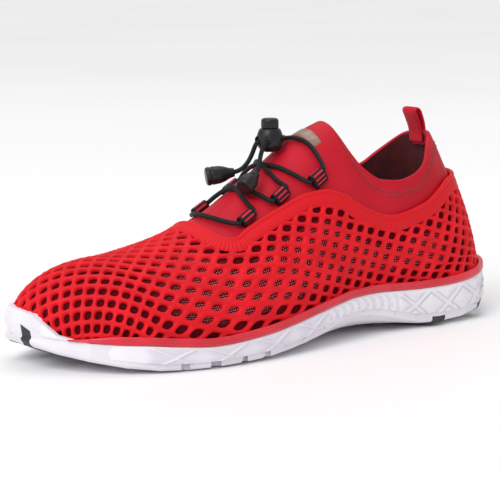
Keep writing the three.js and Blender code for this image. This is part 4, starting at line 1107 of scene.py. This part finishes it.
def make_knit():
    """The open mesh: one cell round each hole, with raised ribs between the holes."""
    p, q, fine = whole_cells()
    angle = circle(CELL_POINTS)
    across = np.abs(np.cos(angle))
    along = np.abs(np.sin(angle))
    border = np.maximum(across + along, 1)
    rim_p = np.cos(angle) / border * LATTICE_PITCH / 2
    rim_q = np.sin(angle) / border * LATTICE_ROW
    oval = (across ** 1.5 + along ** 1.5) ** (1 / 1.5)
    size = mix(1, HOLE_FINE, fine)[:, None]
    hole_p = np.cos(angle) / oval * HOLE_HALF[0] * size
    hole_q = np.sin(angle) / oval * HOLE_HALF[1] * size
    junction = 0.3 * np.cos(2 * angle) ** 2
    rings = []
    for share, height in CELL_ROWS:
        ring_p = p[:, None] + mix(rim_p, hole_p, share)
        ring_q = q[:, None] + mix(rim_q, hole_q, share)
        lift = np.broadcast_to(height - junction * (1 - min(share, 1)), hole_p.shape)
        rings.append(np.stack([ring_p, ring_q, lift], -1))
    laid = np.stack(rings, 1).reshape(-1, 3)
    side, at, _, turn = lattice_surface(laid[:, 0], laid[:, 1])
    points = wall(at, side, turn, MESH_OUT + laid[:, 2])
    cell = np.array(grid_faces(len(CELL_ROWS), CELL_POINTS, close_columns=True))[:, [0, 3, 2, 1]]
    starts = np.arange(len(p)) * CELL_POINTS * len(CELL_ROWS)
    faces = (starts[:, None, None] + cell).reshape(-1, 4)
    _, first, same_as = np.unique(np.round(laid, 3), axis=0, return_index=True, return_inverse=True)
    faces = same_as.reshape(-1)[faces]
    mesh_piece("knit_upper", points[first], faces, KNIT, "mesh", ["mesh_upper"])


def shown_share(at, points):
    """How much the fine inner mesh shows: from 0 near the edges to 1 along the middle of the side."""
    near_edge = ease(edge_distance(points), 13, 20)
    low = ease(points[:, 2] - seat_z(at), 8, 14)
    return near_edge * low * ease(at, 0.16, 0.3) * (1 - ease(at, 0.8, 0.86))


def make_back_band():
    """Plain knit between the two sides' last cells, up the middle of the back."""
    half = 8
    count = 21
    rise = np.linspace(0, 1, 40)
    across = np.linspace(-half, half, count)[:, None] + np.zeros(len(rise))
    side = np.where(across < 0, -1, 1)
    at = np.zeros(across.shape)
    for one, _ in SIDES:
        lay = LAYS[one]
        mine = side == one
        at[mine] = np.interp(lay.p[-1] - np.abs(across[mine]), lay.p, lay.at)
    top = turn_where(at, side, MESH_OUT, mesh_edge_z)
    height = 0.55 - 0.85 * ease(np.abs(across), 3.5, 7)
    points = wall(at, side, top * rise[None], MESH_OUT + height)
    mesh_piece("knit_back_band", points, grid_faces(count, len(rise)), KNIT, "mesh", ["mesh_upper"])


def make_lining():
    """The layer behind the holes."""
    at = crowded(150)
    rows = np.linspace(0, 1, 44)
    for side, name in SIDES:
        top = turn_where(at, side, MESH_IN, lambda a: mesh_edge_z(a) - 1.5)
        turn = top[:, None] * rows[None, :]
        points = wall(at[:, None], side, turn, MESH_IN - 0.1)
        lay = LAYS[side]
        table = lay.turn[np.searchsorted(lay.at, at)]
        girth = np.array([np.interp(t, row, lay.v) for t, row in zip(turn, table)])
        along = np.interp(at, lay.at, lay.p)[:, None] + 0 * girth
        uv = np.stack([along, girth], -1).reshape(-1, 2)
        faces = grid_faces(len(at), len(rows))
        piece = mesh_piece(f"knit_lining_{name}", points, faces, LINING, "mesh", ["mesh_upper"], uv=uv)
        tag(piece, "shown", shown_share(np.repeat(at, len(rows)), points.reshape(-1, 3)))


def projected(points, at, lap, off):
    """Places on the skin under points near it, found by a few steps from a first guess."""
    at, lap = at.copy(), lap.copy()
    small = 1e-4
    for _ in range(5):
        here = skin(at, lap, off)
        by_at = (skin(np.minimum(at + small, 1), lap, off) - skin(at - small, lap, off)) / (2 * small)
        by_lap = (skin(at, lap + small, off) - skin(at, lap - small, off)) / (2 * small)
        away = points - here
        a = (by_at * by_at).sum(-1)
        b = (by_at * by_lap).sum(-1)
        c = (by_lap * by_lap).sum(-1)
        e = (by_at * away).sum(-1)
        f = (by_lap * away).sum(-1)
        det = np.maximum(a * c - b * b, 1e-9)
        at = np.clip(at + (e * c - f * b) / det, 0.02, 1)
        lap = np.clip(lap + (f * a - e * b) / det, 0, 2)
    return at, lap


# Knit band at the mesh's edge: distance from the edge, and height over the wall
HEM_ROWS = [
    (0.8, -1.7), (0.1, -1.5), (-0.5, -0.9), (-0.7, -0.1), (-0.4, 0.6), (0.2, 0.95), (0.9, 0.95),
    (1.5, 0.7), (1.9, 0.4), (2.4, 0.5), (3.4, 0.62), (4.6, 0.62), (5.8, 0.55), (6.8, 0.4), (7.6, 0.15),
    (8.3, -0.5),
]


def make_hem():
    """The knit band, laid down the wall from the mesh's edge and rolled over it."""
    for side, name in SIDES:
        at, turn, run = resampled(*EDGES[side], side, 0.8)
        lap = turn if side < 0 else 2 - turn
        base = skin(at, lap, MESH_OUT)
        tangent = np.gradient(base, axis=0)
        tangent[0] = (0, side, 0)
        tangent = unit(tangent)
        small = 1e-3
        a = skin(np.minimum(at + small, 1), lap, MESH_OUT) - skin(at - small, lap, MESH_OUT)
        b = skin(at, np.minimum(lap + small, 2), MESH_OUT) - skin(at, np.maximum(lap - small, 0), MESH_OUT)
        normal = unit(np.cross(a, b))
        normal *= np.sign((normal * (base - np.array([20, 0, 40]))).sum(-1))[:, None]
        down = np.cross(normal, tangent)
        down *= np.where(down[:, 2] > 0, -1, 1)[:, None]
        down[0] = (-1, 0, 0)
        down = unit(down)
        down = np.stack([np.convolve(np.pad(c, 4, mode="edge"), np.ones(9) / 9, "valid") for c in down.T], -1)
        down[0] = (-1, 0, 0)
        down = unit(down)
        rows = []
        for distance, height in HEM_ROWS:
            if distance > 0:
                at_row, lap_row = projected(base + down * distance, at, lap, MESH_OUT)
                rows.append(skin(at_row, lap_row, MESH_OUT + height))
            else:
                rows.append(base + down * distance + normal * height)
        uv = np.stack(np.meshgrid(run, [row[0] for row in HEM_ROWS], indexing="ij"), -1).reshape(-1, 2)
        faces = grid_faces(len(at), len(HEM_ROWS))
        mesh_piece(f"knit_hem_{name}", np.stack(rows, 1), faces, HEM, "mesh", ["mesh_upper"], uv=uv)


make_knit()
make_back_band()
make_lining()
make_hem()


# Neoprene bootie

def bootie_stations():
    """Places along the sole, close together where the tongue ends and at the back."""
    start = THROAT_AT - BOOTIE_OVERLAP / SOLE_LENGTH
    front = np.linspace(start, TONGUE_AT - 0.004, 60, endpoint=False)
    tip = np.linspace(TONGUE_AT - 0.004, 0.66, 40, endpoint=False)
    sides = np.linspace(0.66, HEEL_FAN, 40, endpoint=False)
    back = HEEL_FAN + (1 - HEEL_FAN) * np.sin(np.linspace(0, math.pi / 2, 46))
    return np.concatenate([front, tip, sides, back])


def rim_turn(at, side, off):
    turn = turn_where(at, side, off, lambda a: rim_z(a, side))
    return np.where(turn > 0.9995, 1, turn)


def make_bootie():
    """Tongue, collar and heel tab as one soft shell with a rounded rim."""
    at = bootie_stations()
    share = np.linspace(0, 1, 22)[None]
    for side, name in SIDES:
        low = turn_where(
            at, side, BOOTIE_OUT, lambda a: mesh_edge_z(np.maximum(a, THROAT_AT)) - BOOTIE_OVERLAP
        )
        high = rim_turn(at, side, BOOTIE_OUT)
        turn = mix(low[:, None], high[:, None], share)
        outer = wall(at[:, None], side, turn, BOOTIE_OUT)
        inner = wall(at[:, None], side, turn, BOOTIE_IN)
        middle = (outer[:, -1] + inner[:, -1]) / 2
        half = (outer[:, -1] - inner[:, -1]) / 2
        up = unit(outer[:, -1] - outer[:, -2])
        open_edge = (high < 1)[:, None] * np.linalg.norm(half, axis=1)[:, None]
        angles = np.linspace(0, math.pi, 9)[1:-1]
        lip = [middle + half * math.cos(a) * 1.08 + up * open_edge * math.sin(a) * 1.1 for a in angles]
        lip = np.stack(lip, 1)
        for piece, look, points in (
            ("bootie", NEOPRENE, np.concatenate([outer, lip], axis=1)),
            ("bootie_inside", INSIDE, np.concatenate([lip[:, -1:], inner[:, ::-1]], axis=1)),
        ):
            faces = grid_faces(*points.shape[:2])
            mesh_piece(f"{piece}_{name}", points, faces, look, "neoprene", ["neoprene_bootie"])


def stitch(middle, along, across, up):
    """One stitch: a small pillow, 1.5 mm long and 0.75 mm wide."""
    points = []
    for s, r in ((-0.5, 0.25), (-0.25, 0.85), (0.25, 0.85), (0.5, 0.25)):
        for a in circle(6):
            side = across * math.cos(a) * 0.375 * r + up * math.sin(a) * 0.3 * r
            points.append(middle + along * s * 1.5 + side)
    return np.array(points), tube_faces(4, 6)


RIM_STITCH = 5.4
STITCH_PITCH = 1.9


def make_stitches():
    """Two rows of stitches below the rim."""
    at = bootie_stations()
    late = at[at > 0.634]
    parts = []
    for side, _ in SIDES:
        high = rim_turn(late, side, BOOTIE_OUT)
        for extra in (0, 2.0):
            place = wall(late, side, high, BOOTIE_OUT)
            down = wall(late, side, np.maximum(high - 0.02, 0), BOOTIE_OUT) - place
            per_turn = np.linalg.norm(down, axis=1) / 0.02
            turn = np.maximum(high - (RIM_STITCH + extra) / np.maximum(per_turn, 1), 0.02)
            line = wall(late, side, turn, BOOTIE_OUT)
            lifted = wall(late, side, turn, BOOTIE_OUT + 1) - line
            run = run_along(line)

            def at_run(s, values):
                return np.array([np.interp(s, run, column) for column in values.T])

            for s in np.arange(1, run[-1] - 1, STITCH_PITCH):
                p = at_run(s - 0.5, line)
                q = at_run(s + 0.5, line)
                up = at_run(s, lifted)
                along = unit(q - p)
                parts.append(stitch((p + q) / 2 + 0.08 * up, along, np.cross(along, up), up))
    mesh_piece("rim_stitches", *join(parts), THREAD, "neoprene")


def make_label():
    """A bare label sewn across the tongue below its rim."""
    at = np.linspace(0.576, 0.6, 10)
    lateral = turn_at(0.588, -1, -10.5, BOOTIE_OUT)
    medial = 2 - turn_at(0.588, 1, 14.5, BOOTIE_OUT)
    lap = np.linspace(lateral, medial, 48)
    height = np.full((len(at), len(lap)), -0.2)
    height[1:-1, 1:-1] = 0.4
    points = skin(at[:, None], lap[None, :], BOOTIE_OUT + height)
    mesh_piece("tongue_label", points, grid_faces(*height.shape), LABEL, "neoprene")


def make_pull_loop():
    """A band of webbing that stands up from the back of the collar and folds over to the toe."""
    top = turn_where(np.array([1.0]), -1, BOOTIE_OUT, lambda a: rim_z(a, -1))[0]
    back = wall(1.0, -1, top, BOOTIE_OUT / 2)
    line = [(1.2, -7), (1.1, -2), (0.9, 1), (0.2, 5), (-1.2, 9), (-2.8, 12.2), (-4.6, 13.4), (-6.2, 12.9)]
    line += [(-6.4, 11.6), (-5.2, 9), (-3.4, 5.4), (-2, 2), (-1.3, -1), (-1.2, -5)]
    line = smooth_route([(x, 0, z) for x, z in line], 0.8)
    normal = np.cross(unit(np.gradient(line, axis=0)), (0, 1, 0))
    section = band_section(10.5, 0.55, 0.3, 5, 9)
    points = [back + p + n * h + np.array([0, w, 0]) for p, n in zip(line, normal) for w, h in section]
    faces = grid_faces(len(line), len(section), close_columns=True)
    mesh_piece("heel_pull", points, faces, NEOPRENE, "neoprene", ["pull_loop"])


make_bootie()
make_stitches()
make_label()
make_pull_loop()


# Sole unit

def radius_at(st, height, off):
    """Distance of the wrapped last from the spine at a height."""
    turn, _ = halved(np.shape(st.at), lambda turn: wall(st.at, st.side, turn, off)[..., 2] < height)
    p = wall(st.at, st.side, turn, off)
    return np.hypot(p[..., 0] - st.x, p[..., 1] - st.y)


def ring_places(count):
    """Places all the way round the sole, closer together at the toe and the heel."""
    at = crowded(count)
    side = np.concatenate([-np.ones(count), np.ones(count - 2)])
    return np.concatenate([at, at[1:-1][::-1]]), side


# How far the side's skin lies outside the foam's solid, and how far inside it where an arm is to show
SIDE_PROUD = 0.12
SIDE_HIDDEN = -1.8


def make_sole_side():
    """The foam's side wall and toe bumper, with a low relief and shade painted into its folds."""
    at, side = ring_places(420)
    st = Stations(at, side)
    low = edge_z(at) + EDGE_ROUND
    seat = seat_along(st, st.reach - 1)
    bump = np.where(side < 0, bumper_lateral(at), bumper_medial(at)) * BUMPER_HEIGHT
    wrapped = ease(bump, 0, 3)
    rows = []
    fade = relief_fade(at, side)
    fold_shades = []
    for share in np.linspace(0.16, 0.98, 40):
        z = mix(low, seat, share)
        shown = fade * ease(share, 0.16, 0.24)
        relief, fold = crystal_relief(at, share)
        rows.append((st.reach - ease(share, 0.4, 1) + mix(SIDE_HIDDEN, SIDE_PROUD + relief, shown), z))
        fold_shades.append(fold * shown)
    shoulder = seat + 0.25
    hidden = 1 - ease(at, 0.011, 0.022)
    rows.append((st.reach - 1.2 + SIDE_HIDDEN * hidden, np.where(wrapped > 0.01, shoulder, seat + 0.1)))
    for share, wall_share in ((0.35, 1), (0.7, 1), (0.92, 0.85), (1.0, 0.5), (0.97, 0.1), (0.5, 0)):
        z = seat + share * bump
        proud = mix(SIDE_PROUD, SIDE_HIDDEN, hidden)
        radius = radius_at(st, z, MESH_OUT) + 2 * GAP + wall_share * BUMPER_WALL + proud
        rows.append((mix(st.reach - 2.2, radius, wrapped), z))
    points = np.stack([st.placed(r, z) for r, z in rows], 1)
    faces = grid_faces(*points.shape[:2], close_rows=True)
    piece = mesh_piece("sole_side", points, faces, RELIEF_FOAM, "foam")
    fold_shades += [np.zeros(len(at))] * (len(rows) - len(fold_shades))
    # Painted shade for the relief's folds: the fold attribute that the foam_side material reads.
    tag(piece, "fold", np.stack(fold_shades, 1))


def relief_fade(at, side):
    """The relief ends before the black arms at the toe and the lateral heel."""
    toe = ease(at, 0.05, 0.12)
    heel = np.where(side < 0, 1 - ease(at, 0.9, 0.94), 1 - ease(at, 0.97, 0.99))
    return toe * heel


# Relief of the side: start and end along the sole, how many figures stand between them, lean and kind
RELIEF = [
    (0.1417, 0.528, 4, 0.0405, "ridges"),
    (0.51, 0.71, 10, 0.01, "ribs"),
    (0.7, 1.02, 4, 0.042, "bands"),
]


def crystal_relief(at, share):
    """Height and painted shade of the relief: crossing ridges, ribs in the arch and bands at the heel."""
    height = np.zeros(np.shape(at))
    fold = np.zeros(np.shape(at))
    for start, end, count, lean, kind in RELIEF:
        step = (end - start) / count
        tilt = (share - 0.49) * 2 * lean
        one = np.abs(((at - start - tilt) / step) % 1 - 0.5) * 2
        two = np.abs(((at - start + tilt) / step) % 1 - 0.5) * 2
        away = np.minimum(one, two)
        # Painted shade: grey between the crossing ridges and in the grooves of the ribs and the bands.
        if kind == "ridges":
            ridge = 1 - ease(away, 0.03, 0.11)
            form = 0.5 + 0.7 * ridge + 0.3 * ease(away, 0.1, 0.7)
            painted_shade = 0.42 * (1 - ridge) * (1 - 0.5 * ease(away, 0.3, 0.9))
        elif kind == "bands":
            groove = np.exp(-(((away - 0.2) / 0.035) ** 2))
            band = 1 - ease(away, 0.15, 0.2)
            form = 0.6 + 0.35 * band + 0.6 * ease(away, 0.2, 0.8) - 0.45 * groove
            painted_shade = 0.12 + 0.5 * groove
        else:
            bow = 0.012 * math.cos(math.pi * (share - 0.5))
            across = np.abs(((at - start - bow) / step) % 1 - 0.5) * 2
            groove = np.exp(-(((across - 0.75) / 0.14) ** 2))
            form = 0.65 + 0.25 * (1 - ease(across, 0.2, 0.7)) - 0.3 * groove
            painted_shade = 0.1 + 0.45 * groove
        inside = ease(at, start - 0.006, start + 0.012) * (1 - ease(at, end - 0.012, end + 0.006))
        height = np.maximum(height, inside * form)
        fold = mix(fold, painted_shade, inside)
    edge = ease(share, 0.16, 0.26) * (1 - ease(share, 0.86, 0.97))
    return height * edge, fold * edge


# Where the strip begins on the lateral side and ends on the medial side
STRIP_START = 0.042
STRIP_END = 0.15


def make_strip():
    """The red strip round the foot of the upper, with a groove along it."""
    at = crowded(300)
    lateral = at[at >= STRIP_START]
    medial = at[at > STRIP_END][::-1]
    places = np.concatenate([lateral, medial[1:]])
    side = np.concatenate([-np.ones(len(lateral)), np.ones(len(medial) - 1)])
    st = Stations(places, side)
    base = seat_along(st, st.reach - 1) + GAP
    inner = st.reach - STRIP_WALL
    outer = st.reach - GAP
    taper = ease(places, STRIP_START - 0.01, STRIP_START + 0.07) * 0.85 + 0.15
    top = STRIP_HEIGHT * np.where(side < 0, taper, 1)
    lip = np.minimum(inner, radius_at(st, base + 0.9 * top, MESH_OUT) + 0.2)
    rows = [
        (inner, 0), (outer - 0.5, 0), (outer - 0.1, 0.1), (outer, 0.28), (outer - 0.02, 0.42),
        (outer - 0.3, 0.5), (outer - 0.15, 0.58), (outer - 0.2, 0.75), (outer - 0.55, 0.93),
        (outer - 1.1, 1.0), (outer - 1.9, 0.97), (lip, 0.9),
    ]
    points = np.stack([st.placed(r, base + share * top) for r, share in rows], 1)
    faces = tube_faces(len(places), len(rows))
    mesh_piece("upper_strip", points, faces, STRIP, "strip_rubber", ["foxing_strip"])


def dress_nodes():
    """Better materials for the solids that stay."""
    looks = {"midsole": FOAM, "forefoot_rubber": RUBBER, "heel_rubber": RUBBER, "insole": FOOTBED}
    for name, look in looks.items():
        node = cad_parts[name]
        node.data.materials.clear()
        node.data.materials.append(look.material)


# Badge: middle and half size in X and Y, and its rings as shares of that size and heights over the foam
BADGE_MIDDLE = np.array([20.8, -1.4])
BADGE_HALF = np.array([8.8, 18.7])
BADGE_RINGS = [(1.0, -0.6), (1.0, 0.25), (0.98, 0.45), (0.93, 0.5)]
BADGE_RINGS += [(share, 0.5) for share in (0.8, 0.6, 0.4, 0.2, 0.02)]


def make_badge():
    """The bare oval badge of the arch, laid on the foam's underside."""
    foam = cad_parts["midsole"]
    inverse = foam.matrix_world.inverted()
    up = inverse.to_3x3() @ Vector((0, 0, 1))
    angle = circle(72)
    points = []
    uv = []
    for share, proud in BADGE_RINGS:
        for a in angle:
            x, y = BADGE_MIDDLE + BADGE_HALF * share * np.array([math.cos(a), math.sin(a)])
            hit, place, _, _ = foam.ray_cast(inverse @ Vector((x * MM, y * MM, -0.05)), up)
            z = (foam.matrix_world @ place).z / MM if hit else 3.0
            points.append((x, y, z - proud))
            uv.append((share * 10, a))
    faces = grid_faces(len(BADGE_RINGS), len(angle), close_columns=True)
    faces.append([(len(BADGE_RINGS) - 1) * len(angle) + k for k in range(len(angle))])
    mesh_piece("sole_badge", points, faces, BADGE, "foam", uv=uv)


make_sole_side()
make_strip()
make_badge()
dress_nodes()


# Floor and light

def make_stage():
    """A pale floor just below the shoe."""
    look = grained(
        "floor", (0.93, 0.93, 0.935), 0.6, (2, 2), (0.3, (0.92, 0.92, 0.925)), (0.7, (0.95, 0.95, 0.955))
    )
    size = 40
    mesh = bpy.data.meshes.new("floor")
    corners = [(-size, -size, 0), (size, -size, 0), (size, size, 0), (-size, size, 0)]
    mesh.from_pydata(corners, [], [(0, 1, 2, 3)])
    mesh.materials.append(look.material)
    floor = bpy.data.objects.new("floor", mesh)
    floor.location.z = -0.0002
    bpy.context.scene.collection.objects.link(floor)


def make_light(name, kind, energy, place, toward, **values):
    data = bpy.data.lights.new(name, kind)
    data.energy = energy
    for key, value in values.items():
        setattr(data, key, value)
    light = bpy.data.objects.new(name, data)
    light.location = place
    light.rotation_mode = "QUATERNION"
    light.rotation_quaternion = Vector(toward).to_track_quat("-Z", "Y")
    bpy.context.scene.collection.objects.link(light)


def make_softbox(name, energy, place, size):
    """A round light that looks at the middle of the shoe."""
    toward = Vector((0, 0, 0.04)) - Vector(place)
    make_light(name, "AREA", energy, place, toward, shape="DISK", size=size)


def make_world():
    world = bpy.data.worlds.new("studio")
    world.use_nodes = True
    world.node_tree.nodes["Background"].inputs["Color"].default_value = (1, 1, 1, 1)
    world.node_tree.nodes["Background"].inputs["Strength"].default_value = 0.64
    bpy.context.scene.world = world


make_stage()
make_light("key", "SUN", 1.35, (0, 0, 0), (1.2, 0.5, -1.25), angle=0.6)
make_softbox("fill", 2.5, (-1.4, 0.2, 0.8), 1.2)
make_softbox("top", 6, (0.3, 0.4, 1.8), 1.4)
make_world()
bpy.context.scene.view_settings.view_transform = "Standard"

bpy.context.view_layer.update()
